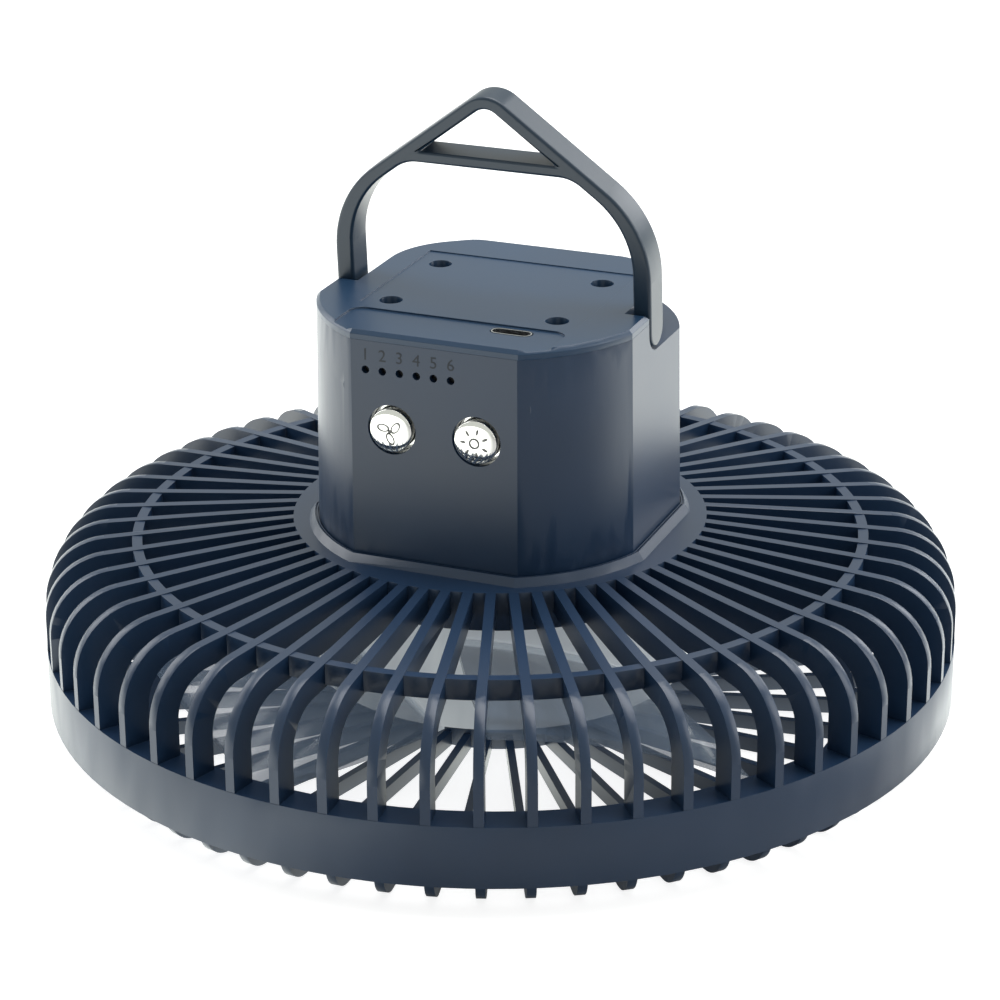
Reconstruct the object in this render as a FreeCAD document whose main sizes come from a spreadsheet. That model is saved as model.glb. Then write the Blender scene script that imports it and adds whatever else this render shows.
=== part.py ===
import FreeCAD, Part
import math
import os

import Sketcher
from FreeCAD import Placement, Rotation, Vector

# A guarded camping fan that stands face down on its front grille or hangs by its folding handle.
# Millimetres and degrees. The axis of the fan is Z, the buttons face -Y, and Z is 0 at the resting plane.

# Driving dimensions
SIZES = {
    # rear grille
    "fan_radius": 100.0,
    "band_low": 6.5,
    "band_height": 13.4,
    "band_wall": 2.4,
    "flange_width": 7.0,
    "flange_thick": 3.0,
    "rib_count": 60,
    "rib_thick": 2.1,
    "rib_depth": 6.0,
    "rib_inset": 0.1,
    "rib_top_depth": 5.2,
    "rib_phase": 1.9,
    "shoulder_radius": 14.5,
    "shoulder_inner": 9.0,
    "grille_height": 42.4,
    "hoop_radius": 80.4,
    "hoop_width": 2.2,
    "hoop_depth": 4.5,
    "hoop_inset": 0.1,
    "hub_radius": 45.2,
    "hub_rise": 3.0,
    "skirt_wall": 2.4,
    "skirt_depth": 8.5,
    "hub_plate": 2.4,
    # housing on the hub
    "seat_height": 1.0,
    "rim_height": 1.7,
    "rim_width": 2.0,
    "rim_slope": 35.0,
    "groove_inset": 0.25,
    "groove_width": 0.3,
    "groove_depth": 0.5,
    "seat_clear": 0.3,
    "half_width": 35.8,
    "half_depth": 35.2,
    "front_flat": 37.4,
    "side_flat": 29.4,
    "corner_radius": 37.1,
    "wall_draft": 0.85,
    "housing_wall": 2.4,
    "housing_height": 47.9,
    # top cover
    "cover_thick": 2.0,
    "cover_bevel": 0.8,
    "panel_depth": 0.25,
    "panel_half": 24.5,
    "panel_front": 17.6,
    "panel_back": 19.9,
    "strip_depth": 0.4,
    "strip_half": 24.2,
    "strip_front": 20.8,
    "strip_margin": 0.3,
    "strip_round": 3.0,
    # long screws and their columns
    "column_x": 18.9,
    "column_y": 13.25,
    "column_shift": 0.75,
    "column_radius": 3.7,
    "column_joint": 70.0,
    "column_floor": 2.6,
    "head_bore": 2.5,
    "cover_screw_head": 2.3,
    "cover_screw_head_high": 2.2,
    "cover_screw_radius": 1.3,
    "cover_screw_reach": 12.0,
    "screw_clear": 0.3,
    # handle
    "pivot_drop": 4.3,
    "leg_out": 36.0,
    "leg_thick": 4.0,
    "leg_half_depth": 3.9,
    "arm_angle": 37.0,
    "arm_thick": 2.9,
    "apex_reach": 50.3,
    "handle_lean": 4.0,
    "apex_round": 7.0,
    "apex_inner_round": 3.5,
    "shoulder_out": 24.0,
    "bar_reach": 32.6,
    "bar_thick": 2.5,
    "bar_round": 8.0,
    "handle_edge": 0.7,
    "fold_gap": 0.6,
    "trunnion_radius": 2.0,
    "trunnion_clear": 0.05,
    "washer_radius": 3.1,
    "washer_thick": 0.8,
    "washer_gap": 0.3,
    "washer_clear": 0.3,
    "handle_screw_head": 2.2,
    "handle_screw_head_high": 1.4,
    "handle_screw_radius": 0.9,
    # front controls
    "button_x": 9.5,
    "button_z": 75.5,
    "button_radius": 4.7,
    "button_sink": 0.1,
    "button_crown": 1.25,
    "button_well": 5.4,
    "button_flange": 6.8,
    "button_flange_thick": 0.8,
    "button_gap": 0.3,
    "button_stem": 2.2,
    "button_travel": 0.5,
    "plunger_radius": 1.5,
    "plunger_clear": 0.2,
    "plunger_reach": 2.0,
    "light_count": 6,
    "light_pitch": 3.83,
    "light_first": -15.3,
    "light_z": 88.0,
    "light_hole": 0.85,
    "pip_clear": 0.1,
    "pip_recess": 1.5,
    "lens_thick": 1.2,
    "lens_high": 3.0,
    # circuit board
    "board_back": -25.25,
    "board_thick": 1.6,
    "board_half": 22.0,
    "board_low": 60.0,
    "board_high": 92.6,
    "board_boss_x": 18.6,
    "board_boss_low": 63.5,
    "board_boss_high": 83.5,
    "board_boss": 2.4,
    "board_screw_head": 2.0,
    "board_screw_head_high": 1.3,
    "board_screw_radius": 0.9,
    "board_screw_reach": 5.0,
    "switch_side": 6.2,
    "switch_depth": 3.5,
    "led_side": 1.4,
    "led_thick": 0.8,
    "port_x": 12.6,
    "port_width": 8.94,
    "port_depth": 3.26,
    "port_length": 7.3,
    "port_wall": 0.3,
    "port_clear": 0.25,
    "port_floor": 1.0,
    "tongue_width": 6.7,
    "tongue_depth": 0.7,
    "tongue_length": 4.6,
    # battery
    "cell_radius": 9.15,
    "cell_length": 65.0,
    "cell_gap": 0.7,
    "cell_lift": 1.0,
    "cell_clear": 0.1,
    "bracket_x": 25.6,
    "bracket_thick": 2.4,
    "bracket_half": 12.0,
    # motor
    "motor_radius": 19.0,
    "motor_wall": 1.2,
    "motor_low": 20.0,
    "motor_plate": 2.5,
    "end_wall": 1.5,
    "bearing_radius": 5.0,
    "bearing_length": 3.4,
    "shaft_radius": 2.0,
    "shaft_clear": 0.03,
    "shaft_low": 9.4,
    "shaft_top_gap": 0.4,
    "stator_inner": 11.6,
    "stator_gap": 1.6,
    "rotor_gap": 0.6,
    "rotor_end_gap": 0.6,
    "motor_screw_ring": 13.0,
    "motor_screw_phase": 30.0,
    "motor_screw_count": 3,
    "motor_screw_head": 2.4,
    "motor_screw_head_high": 1.4,
    "motor_screw_radius": 1.25,
    "motor_screw_reach": 2.0,
    # impeller
    "impeller_low": 12.5,
    "impeller_hub": 42.0,
    "impeller_phase": 25.3,
    "impeller_wall": 1.6,
    "impeller_floor": 1.8,
    "impeller_hub_high": 23.0,
    "impeller_boss": 5.5,
    "impeller_boss_gap": 0.8,
    "blade_count": 5,
    "blade_tip": 85.5,
    "blade_thick": 1.6,
    "blade_centre_z": 23.4,
    "root_at": 34.0,
    "root_wide": 46.0,
    "root_high": 20.6,
    "root_sweep": 0.0,
    "root_camber": 60.0,
    "middle_at": 60.0,
    "middle_wide": 54.0,
    "middle_high": 20.6,
    "middle_sweep": -2.5,
    "middle_camber": 80.0,
    "end_at": 86.5,
    "end_wide": 57.0,
    "end_high": 19.4,
    "end_sweep": -5.5,
    "end_camber": 90.0,
    "nut_radius": 4.4,
    "nut_high": 3.6,
    # front grille and lamp
    "foot_inset": 0.2,
    "foot_round": 6.5,
    "foot_depth": 3.0,
    "foot_thick": 2.0,
    "foot_hoop": 79.0,
    "foot_hoop_width": 2.6,
    "foot_rim_wall": 4.0,
    "rim_clear": 0.4,
    "rim_low": 9.0,
    "spoke_count": 36,
    "spoke_thick": 1.7,
    "spoke_depth": 3.2,
    "spoke_phase": 6.0,
    "lamp_radius": 26.0,
    "lamp_wall": 2.0,
    "lamp_top": 7.5,
    "lamp_roof": 1.5,
    "lamp_recess": 0.5,
    "diffuser_wall": 1.4,
    "diffuser_clear": 0.15,
    "lamp_board_radius": 21.5,
    "lamp_board_thick": 1.6,
    "lamp_led_count": 12,
    "lamp_led_ring": 16.0,
    "lamp_screw_ring": 9.0,
    "lamp_screw_phase": 30.0,
    "lamp_screw_bite": 1.1,
    "lamp_screw_count": 3,
    "lamp_screw_head": 2.0,
    "lamp_screw_head_high": 1.2,
    "lamp_screw_radius": 0.9,
    "grille_screw_count": 4,
    "grille_screw_phase": 5.0,
    "grille_screw_head": 1.8,
    "grille_screw_head_high": 1.3,
    "grille_screw_radius": 1.0,
    "grille_screw_bite": 2.2,
}

# Places worked out from the driving dimensions
PLACES = {
    # rear grille, seen in section
    "band_top": "band_low + band_height",
    "band_inner": "fan_radius - band_wall",
    "flange_inner": "fan_radius - flange_width",
    "flange_low": "band_top - flange_thick",
    "slope": "hub_rise / (hoop_radius - hub_radius)",
    "slope_angle": "atan(slope)",
    "hub_top": "grille_height + hub_rise",
    "rib_outer": "fan_radius - rib_inset",
    "arc_centre": "rib_outer - shoulder_radius",
    "arc_centre_z": "grille_height + slope * (hoop_radius - arc_centre) - shoulder_radius / cos(slope_angle)",
    "arc_end": "arc_centre + shoulder_radius * sin(slope_angle)",
    "arc_end_z": "arc_centre_z + shoulder_radius * cos(slope_angle)",
    "rib_inner": "rib_outer - rib_depth",
    "under_drop": "rib_top_depth / cos(slope_angle)",
    "rib_foot": "band_top - flange_thick / 2",
    "inner_centre": "rib_inner - shoulder_inner",
    "inner_centre_z": "grille_height - under_drop + slope * (hoop_radius - inner_centre)"
                      " - shoulder_inner / cos(slope_angle)",
    "inner_end": "inner_centre + shoulder_inner * sin(slope_angle)",
    "inner_end_z": "inner_centre_z + shoulder_inner * cos(slope_angle)",
    "skirt_inner": "hub_radius - skirt_wall",
    "skirt_mid": "hub_radius - skirt_wall / 2",
    "rib_root_low": "grille_height - under_drop + slope * (hoop_radius - skirt_mid)",
    "skirt_low": "hub_top - skirt_depth",
    "plate_low": "hub_top - hub_plate",
    "seat_top": "hub_top + seat_height",
    "hoop_inner": "hoop_radius - hoop_width",
    "hoop_top": "grille_height - hoop_inset",
    "hoop_low": "hoop_top - hoop_depth",
    # housing
    "cover_low": "seat_top + housing_height",
    "cover_top": "cover_low + cover_thick",
    "foot_half_width": "half_width + housing_height * tan(wall_draft)",
    "foot_half_depth": "half_depth + housing_height * tan(wall_draft)",
    "flat_x": "front_flat / 2",
    "flat_y": "side_flat / 2",
    "rim_half_width": "foot_half_width + seat_clear + rim_width",
    "rim_half_depth": "foot_half_depth + seat_clear + rim_width",
    "well_half_width": "foot_half_width + seat_clear",
    "well_half_depth": "foot_half_depth + seat_clear",
    "foot_corner": "corner_radius + housing_height * tan(wall_draft)",
    "well_corner": "foot_corner + seat_clear",
    "rim_corner": "well_corner + rim_width",
    "rim_top": "hub_top + rim_height",
    "groove_in_width": "well_half_width + groove_inset",
    "groove_in_depth": "well_half_depth + groove_inset",
    "groove_in_corner": "well_corner + groove_inset",
    "groove_out_width": "groove_in_width + groove_width",
    "groove_out_depth": "groove_in_depth + groove_width",
    "groove_out_corner": "groove_in_corner + groove_width",
    "inner_half_width": "half_width - housing_wall",
    "inner_half_depth": "half_depth - housing_wall",
    "inner_corner": "corner_radius - housing_wall",
    "wall_inside": "-inner_half_depth",
    "boss_root": "half_depth - housing_wall / 2",
    "strip_floor": "cover_top - strip_depth",
    "strip_mouth": "half_depth - cover_bevel - strip_margin",
    "strip_corner_x": "strip_half - strip_round",
    "strip_corner_y": "strip_front + strip_round",
    # handle, and the block inside its fold
    "pivot_z": "cover_top - pivot_drop",
    "leg_in": "leg_out - leg_thick",
    "pocket_radius": "leg_half_depth + fold_gap",
    "ledge_z": "pivot_z - pocket_radius",
    "apex_z": "pivot_z + apex_reach",
    "shoulder_z": "apex_z - leg_out * tan(arm_angle)",
    "apex_in_z": "apex_z - arm_thick / cos(arm_angle)",
    "shoulder_in_z": "apex_in_z - leg_in * tan(arm_angle)",
    "shoulder_in": "shoulder_out - leg_thick",
    "bar_z": "pivot_z + bar_reach",
    "bar_x": "(apex_in_z - bar_z) / tan(arm_angle)",
    "hook_z": "bar_z + bar_thick",
    "hook_x": "(apex_in_z - hook_z) / tan(arm_angle)",
    "block_x": "leg_in - fold_gap",
    "turn": "90 - arm_angle",
    "block_arc": "shoulder_in - fold_gap",
    "block_arc_y": "shoulder_in_z - pivot_z - shoulder_in * tan(turn / 2)",
    "block_line_x": "block_x - block_arc + block_arc * cos(turn)",
    "block_line_y": "block_arc_y + block_arc * sin(turn)",
    "block_y": "bar_reach - fold_gap",
    "block_back_x": "block_line_x - (block_y - block_line_y) / tan(arm_angle)",
    "block_round": "bar_round - fold_gap",
    "block_tangent": "block_round * tan(arm_angle / 2)",
    "block_side_x": "block_back_x + block_tangent * cos(arm_angle)",
    "block_side_y": "block_y - block_tangent * sin(arm_angle)",
    "block_rear_x": "block_back_x - block_tangent",
    "core_x": "block_x - housing_wall",
    "core_arc": "block_arc - housing_wall",
    "core_line_x": "core_x - core_arc + core_arc * cos(turn)",
    "core_line_y": "block_arc_y + core_arc * sin(turn)",
    "core_y": "block_y - housing_wall",
    "core_back_x": "core_line_x - (core_y - core_line_y) / tan(arm_angle)",
    "core_top": "ledge_z - housing_wall",
    "clear_x": "fan_radius / 2",
    "pivot_bore": "trunnion_radius + trunnion_clear",
    "trunnion_end": "core_x - washer_gap",
    "washer_end": "trunnion_end - washer_thick",
    "handle_head_end": "washer_end - handle_screw_head_high",
    "relief_in": "handle_head_end - washer_clear",
    "relief_half": "washer_radius + washer_clear",
    "relief_top": "pivot_z + relief_half",
    # long screws
    "column_front": "-(column_y + column_shift)",
    "column_back": "column_y - column_shift",
    "column_seat": "column_joint + column_floor",
    "cover_screw_low": "column_seat - column_floor - cover_screw_reach",
    "cover_screw_bore": "cover_screw_radius + screw_clear",
    "cover_screw_top": "column_seat + cover_screw_head_high",
    # controls
    "button_face": "half_depth + (cover_low - button_z) * tan(wall_draft)",
    "button_edge": "button_face - button_sink",
    "button_back": "inner_half_depth - button_gap",
    "button_flange_back": "button_back - button_flange_thick",
    "button_top": "button_edge + button_crown",
    "crown_radius": "(button_radius ^ 2 + button_crown ^ 2) / (2 * button_crown)",
    "board_front": "board_thick - board_back",
    "board_screw_top": "board_back + board_screw_head_high",
    "board_screw_tip": "board_front + board_screw_reach",
    "switch_front": "board_front + switch_depth",
    "stem_end": "switch_front + button_travel + button_gap",
    "plunger_end": "stem_end - button_travel - button_gap - plunger_reach",
    "plunger_bore": "plunger_radius + plunger_clear",
    "plunger_floor": "plunger_end - button_travel - button_gap",
    "lens_back": "inner_half_depth - lens_thick",
    "pip_radius": "light_hole - pip_clear",
    "light_face": "half_depth + (cover_low - light_z) * tan(wall_draft)",
    "pip_end": "light_face - pip_recess",
    "lens_start": "light_first - lens_high / 2",
    "lens_length": "(light_count - 1) * light_pitch + lens_high",
    "port_y": "board_back + port_depth / 2",
    "port_top": "strip_floor",
    "port_low": "port_top - port_length",
    "port_floor_z": "port_low + port_floor",
    "port_inner_width": "port_width - 2 * port_wall",
    "port_inner_depth": "port_depth - 2 * port_wall",
    "port_slot_width": "port_width + 2 * port_clear",
    "port_slot_depth": "port_depth + 2 * port_clear",
    # battery
    "cell_low_z": "seat_top + cell_lift + cell_radius",
    "cell_high_z": "cell_low_z + 2 * cell_radius + cell_gap",
    "bracket_top": "cell_high_z + cell_radius + cell_lift",
    "cell_half": "cell_length / 2",
    "cell_hole": "cell_radius + cell_clear",
    # motor and impeller
    "motor_top": "plate_low",
    "case_top": "motor_top - motor_plate",
    "case_inner": "motor_radius - motor_wall",
    "case_floor": "motor_low + end_wall",
    "front_bearing_top": "motor_low + bearing_length",
    "back_bearing_low": "motor_top - bearing_length",
    "shaft_bore": "shaft_radius + shaft_clear",
    "shaft_top": "motor_top - shaft_top_gap",
    "stator_low": "motor_low + end_wall + stator_gap",
    "stator_top": "case_top - stator_gap",
    "rotor_radius": "stator_inner - rotor_gap",
    "rotor_low": "front_bearing_top + rotor_end_gap",
    "rotor_top": "back_bearing_low - rotor_end_gap",
    "hub_cup_top": "impeller_low + impeller_hub_high",
    "cup_inner": "impeller_hub - impeller_wall",
    "cup_floor": "impeller_low + impeller_floor",
    "boss_top": "motor_low - impeller_boss_gap",
    "nut_low": "impeller_low - nut_high",
    "motor_screw_low": "motor_top - motor_screw_reach",
    "motor_screw_top": "seat_top + motor_screw_head_high",
    # front grille and lamp
    "rim_out": "band_inner - rim_clear",
    "foot_radius": "rim_out - foot_inset",
    "foot_centre": "foot_radius - foot_round",
    "foot_wall": "foot_radius - foot_depth",
    "foot_inner_round": "foot_round - foot_depth",
    "hoop_out": "foot_hoop",
    "hoop_in": "foot_hoop - foot_hoop_width",
    "hoop_mid": "foot_hoop - foot_hoop_width / 2",
    "rim_in": "rim_out - foot_rim_wall",
    "rib_end_z": "rim_low + foot_depth",
    "lamp_inner": "lamp_radius - lamp_wall",
    "lamp_mid": "lamp_radius - lamp_wall / 2",
    "lamp_ceiling": "lamp_top - lamp_roof",
    "diffuser_out": "lamp_inner - diffuser_clear",
    "diffuser_in": "diffuser_out - diffuser_wall",
    "diffuser_floor": "lamp_recess + diffuser_wall",
    "lamp_board_low": "lamp_ceiling - lamp_board_thick",
    "lamp_screw_low": "lamp_board_low - lamp_screw_head_high",
    "lamp_screw_tip": "lamp_ceiling + lamp_screw_bite",
    "grille_screw_ring": "(rim_in + rim_out) / 2",
    "grille_screw_low": "rim_low - grille_screw_head_high",
    "grille_screw_top": "flange_low + grille_screw_bite",
}

BLADE_STATIONS = ("root", "middle", "end")
for station in BLADE_STATIONS:
    PLACES[station + "_trail"] = f"{station}_sweep + {station}_wide / 2"
    PLACES[station + "_lead"] = f"{station}_sweep - {station}_wide / 2"
    PLACES[station + "_top"] = f"blade_centre_z + {station}_high / 2"
    PLACES[station + "_bottom"] = f"blade_centre_z - {station}_high / 2"
    PLACES[station + "_top_under"] = f"{station}_top - blade_thick"
    PLACES[station + "_bottom_under"] = f"{station}_bottom - blade_thick"

FULL_TURN = 360.0

document = FreeCAD.newDocument("camping_fan")
sizes = document.addObject("Spreadsheet::Sheet", "Sizes")
places = document.addObject("Spreadsheet::Sheet", "Places")


def is_part_of_name(letter):
    return letter.isalnum() or letter == "_"


def with_sheet_names(formula):
    """Write Sizes. in front of each driving dimension that a formula names."""
    words = []
    word = ""
    for letter in formula + " ":
        if is_part_of_name(letter):
            word += letter
            continue
        words.append("Sizes." + word if word in SIZES else word)
        words.append(letter)
        word = ""
    return "".join(words).strip()


def fill_sheets():
    for row, (name, value) in enumerate(SIZES.items(), start=1):
        sizes.set(f"A{row}", name)
        sizes.set(f"B{row}", str(value))
        sizes.setAlias(f"B{row}", name)
    document.recompute()
    for row, (name, formula) in enumerate(PLACES.items(), start=1):
        places.set(f"A{row}", name)
        places.setAlias(f"B{row}", name)
        places.set(f"B{row}", "=" + with_sheet_names(formula))
    document.recompute()


def cell(name):
    """The expression for a named value, which may carry a minus sign."""
    if name.startswith("-"):
        return "-" + cell(name[1:])
    if name == "0":
        return "0"
    return ("Sizes." if name in SIZES else "Places.") + name


def value(name):
    """The number behind a named value, which may carry a minus sign."""
    if name.startswith("-"):
        return -value(name[1:])
    if name == "0":
        return 0.0
    return float((sizes if name in SIZES else places).get(name))


def span(low, high):
    return f"{cell(high)} - ({cell(low)})"


# Bodies made of sketches and features


def new_body(name):
    body = document.addObject("PartDesign::Body", name)
    body.Label = name
    return body


def origin_feature(body, role):
    return next(item for item in body.Origin.OriginFeatures if item.Role == role)


def new_sketch(body, name, plane="XY_Plane", level=None, phase=None):
    """A sketch on an origin plane, raised to a level along its normal or turned about Z by a phase."""
    sketch = body.newObject("Sketcher::SketchObject", name)
    sketch.AttachmentSupport = [(origin_feature(body, plane), "")]
    sketch.MapMode = "FlatFace"
    if level:
        sketch.setExpression("AttachmentOffset.Base.z", cell(level))
    if phase:
        sketch.AttachmentOffset = Placement(Vector(), Rotation(Vector(0, 1, 0), value(phase)))
        sketch.setExpression("AttachmentOffset.Rotation.Angle", cell(phase))
    return sketch


def add_spot(rules, bindings, geometry, end, corner):
    """Fix one end of a curve at a corner given by two named values."""
    for kind, name in zip(("DistanceX", "DistanceY"), corner[:2]):
        if name != "0":
            bindings.append((len(rules), cell(name)))
        rules.append(Sketcher.Constraint(kind, -1, 1, geometry, end, value(name)))


def arc_between(start, stop, radius, side):
    """The short arc from start to stop, with its centre to the left for side 1, to the right for -1."""
    chord = stop - start
    middle = (start + stop) / 2
    left = Vector(-chord.y, chord.x, 0).normalize()
    reach = math.sqrt(max(radius ** 2 - (chord.Length / 2) ** 2, 0))
    centre = middle + left * reach * side
    first, last = (start, stop) if side > 0 else (stop, start)
    first_angle = math.atan2(first.y - centre.y, first.x - centre.x)
    last_angle = math.atan2(last.y - centre.y, last.x - centre.x)
    if last_angle < first_angle:
        last_angle += 2 * math.pi
    return Part.ArcOfCircle(Part.Circle(centre, Vector(0, 0, 1), radius), first_angle, last_angle)


def bind(sketch, rules, bindings):
    first_rule = sketch.ConstraintCount
    sketch.addConstraint(rules)
    for index, expression in bindings:
        sketch.setExpression(f"Constraints[{first_rule + index}]", expression)


def draw_chain(sketch, corners):
    """A closed chain of corners (x, y); a corner (x, y, radius, side) starts an arc to the next one."""
    rules = []
    bindings = []
    ends = []
    for here, there in zip(corners, corners[1:] + corners[:1]):
        start = Vector(value(here[0]), value(here[1]), 0)
        stop = Vector(value(there[0]), value(there[1]), 0)
        if len(here) == 2:
            geometry = sketch.addGeometry(Part.LineSegment(start, stop))
            ends.append((geometry, 1, 2))
            continue
        radius, side = here[2:]
        geometry = sketch.addGeometry(arc_between(start, stop, value(radius), side))
        ends.append((geometry, 1, 2) if side > 0 else (geometry, 2, 1))
        bindings.append((len(rules), cell(radius)))
        rules.append(Sketcher.Constraint("Radius", geometry, value(radius)))
    for corner, (geometry, start, stop), (after, after_start, after_stop) in zip(
        corners, ends, ends[1:] + ends[:1]
    ):
        add_spot(rules, bindings, geometry, start, corner)
        rules.append(Sketcher.Constraint("Coincident", geometry, stop, after, after_start))
    bind(sketch, rules, bindings)


def draw_circle(sketch, x, y, radius):
    circle = Part.Circle(Vector(value(x), value(y), 0), Vector(0, 0, 1), value(radius))
    geometry = sketch.addGeometry(circle)
    rules = [Sketcher.Constraint("Radius", geometry, value(radius))]
    bindings = [(0, cell(radius))]
    add_spot(rules, bindings, geometry, 3, (x, y))
    bind(sketch, rules, bindings)


def draw_ring(sketch, outer, inner):
    draw_circle(sketch, "0", "0", outer)
    draw_circle(sketch, "0", "0", inner)


def extrude(body, sketch, name, length, kind="Pad", reverse=False, both=False):
    """Pad or pocket a sketch by a length expression."""
    feature = body.newObject("PartDesign::" + kind, name)
    feature.Profile = sketch
    if both:
        feature.SideType = "Symmetric"
    feature.setExpression("Length", length)
    feature.Reversed = reverse
    sketch.Visibility = False
    body.Tip = feature
    return feature


def revolve(body, sketch, name, kind="Revolution"):
    feature = body.newObject("PartDesign::" + kind, name)
    feature.Profile = sketch
    feature.ReferenceAxis = (sketch, ["V_Axis"])
    feature.Angle = FULL_TURN
    body.Tip = feature
    return feature


def pattern_round(body, feature, count, name):
    pattern = body.newObject("PartDesign::PolarPattern", name)
    pattern.Originals = [feature]
    pattern.Axis = (origin_feature(body, "Z_Axis"), [""])
    pattern.Angle = FULL_TURN
    pattern.setExpression("Occurrences", cell(count))
    body.Tip = pattern
    return pattern


def ease_edges(body, kind, name, amount, chosen):
    """Fillet or chamfer the chosen edges of the body's tip."""
    document.recompute()
    tip = body.Tip
    names = [f"Edge{number}" for number, edge in enumerate(tip.Shape.Edges, start=1) if chosen(edge)]
    feature = body.newObject("PartDesign::" + kind, name)
    feature.Base = (tip, names)
    feature.setExpression("Radius" if kind == "Fillet" else "Size", cell(amount))
    body.Tip = feature
    return feature


# Simple pieces made of primitives


def place_at(piece, x="0", y="0", z="0"):
    for axis, expression in zip("xyz", (x, y, z)):
        piece.setExpression(f"Placement.Base.{axis}", expression)


def cylinder(name, radius, low, high, x="0", y="0"):
    """An upright cylinder between two levels."""
    piece = document.addObject("Part::Cylinder", name)
    piece.setExpression("Radius", cell(radius))
    piece.setExpression("Height", span(low, high))
    place_at(piece, x, y, cell(low))
    return piece


def cylinder_along(name, axis, radius, low, high, across, up):
    """A cylinder along X or Y between two places; across and up are expressions."""
    piece = document.addObject("Part::Cylinder", name)
    piece.setExpression("Radius", cell(radius))
    piece.setExpression("Height", span(low, high))
    if axis == "x":
        piece.Placement = Placement(Vector(), Rotation(Vector(0, 1, 0), 90))
        place_at(piece, cell(low), across, up)
    else:
        piece.Placement = Placement(Vector(), Rotation(Vector(1, 0, 0), -90))
        place_at(piece, across, cell(low), up)
    return piece


def box(name, size, corner):
    """A box from three length expressions and its lowest corner's three expressions."""
    piece = document.addObject("Part::Box", name)
    for side, expression in zip(("Length", "Width", "Height"), size):
        piece.setExpression(side, expression)
    place_at(piece, *corner)
    return piece


def join(name, pieces):
    joined = document.addObject("Part::MultiFuse", name)
    joined.Shapes = pieces
    joined.Label = name
    return joined


def group(name, pieces):
    """Identical separate solids that share one node."""
    grouped = document.addObject("Part::Compound", name)
    grouped.Links = pieces
    grouped.Label = name
    return grouped


def subtract(name, base, tool):
    left = document.addObject("Part::Cut", name)
    left.Base = base
    left.Tool = tool
    left.Label = name
    return left


def ring(name, outer, inner, low, high):
    return subtract(
        name,
        cylinder(name + "_outside", outer, low, high),
        cylinder(name + "_bore", inner, low, high),
    )


def screw(name, head, shank, seat, head_end, tip, x, y):
    """An upright screw: its head lies between the seat and head_end, its shank runs to the tip."""
    low_head, high_head = sorted((seat, head_end), key=value)
    low_shank, high_shank = sorted((seat, tip), key=value)
    return join(
        name,
        [
            cylinder(name + "_head", head, low_head, high_head, x, y),
            cylinder(name + "_shank", shank, low_shank, high_shank, x, y),
        ],
    )


def polar(radius, angle):
    """The x and y expressions of a point at an angle expression on a circle."""
    return f"{cell(radius)} * cos({angle})", f"{cell(radius)} * sin({angle})"


# Outlines that several pieces share


def box_outline(half_width, half_depth, corner):
    """Four flats joined by four wide corner arcs, drawn counter-clockwise from the front."""
    return [
        ("-flat_x", "-" + half_depth),
        ("flat_x", "-" + half_depth, corner, 1),
        (half_width, "-flat_y"),
        (half_width, "flat_y", corner, 1),
        ("flat_x", half_depth),
        ("-flat_x", half_depth, corner, 1),
        ("-" + half_width, "flat_y"),
        ("-" + half_width, "-flat_y", corner, 1),
    ]


# Rear grille


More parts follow.
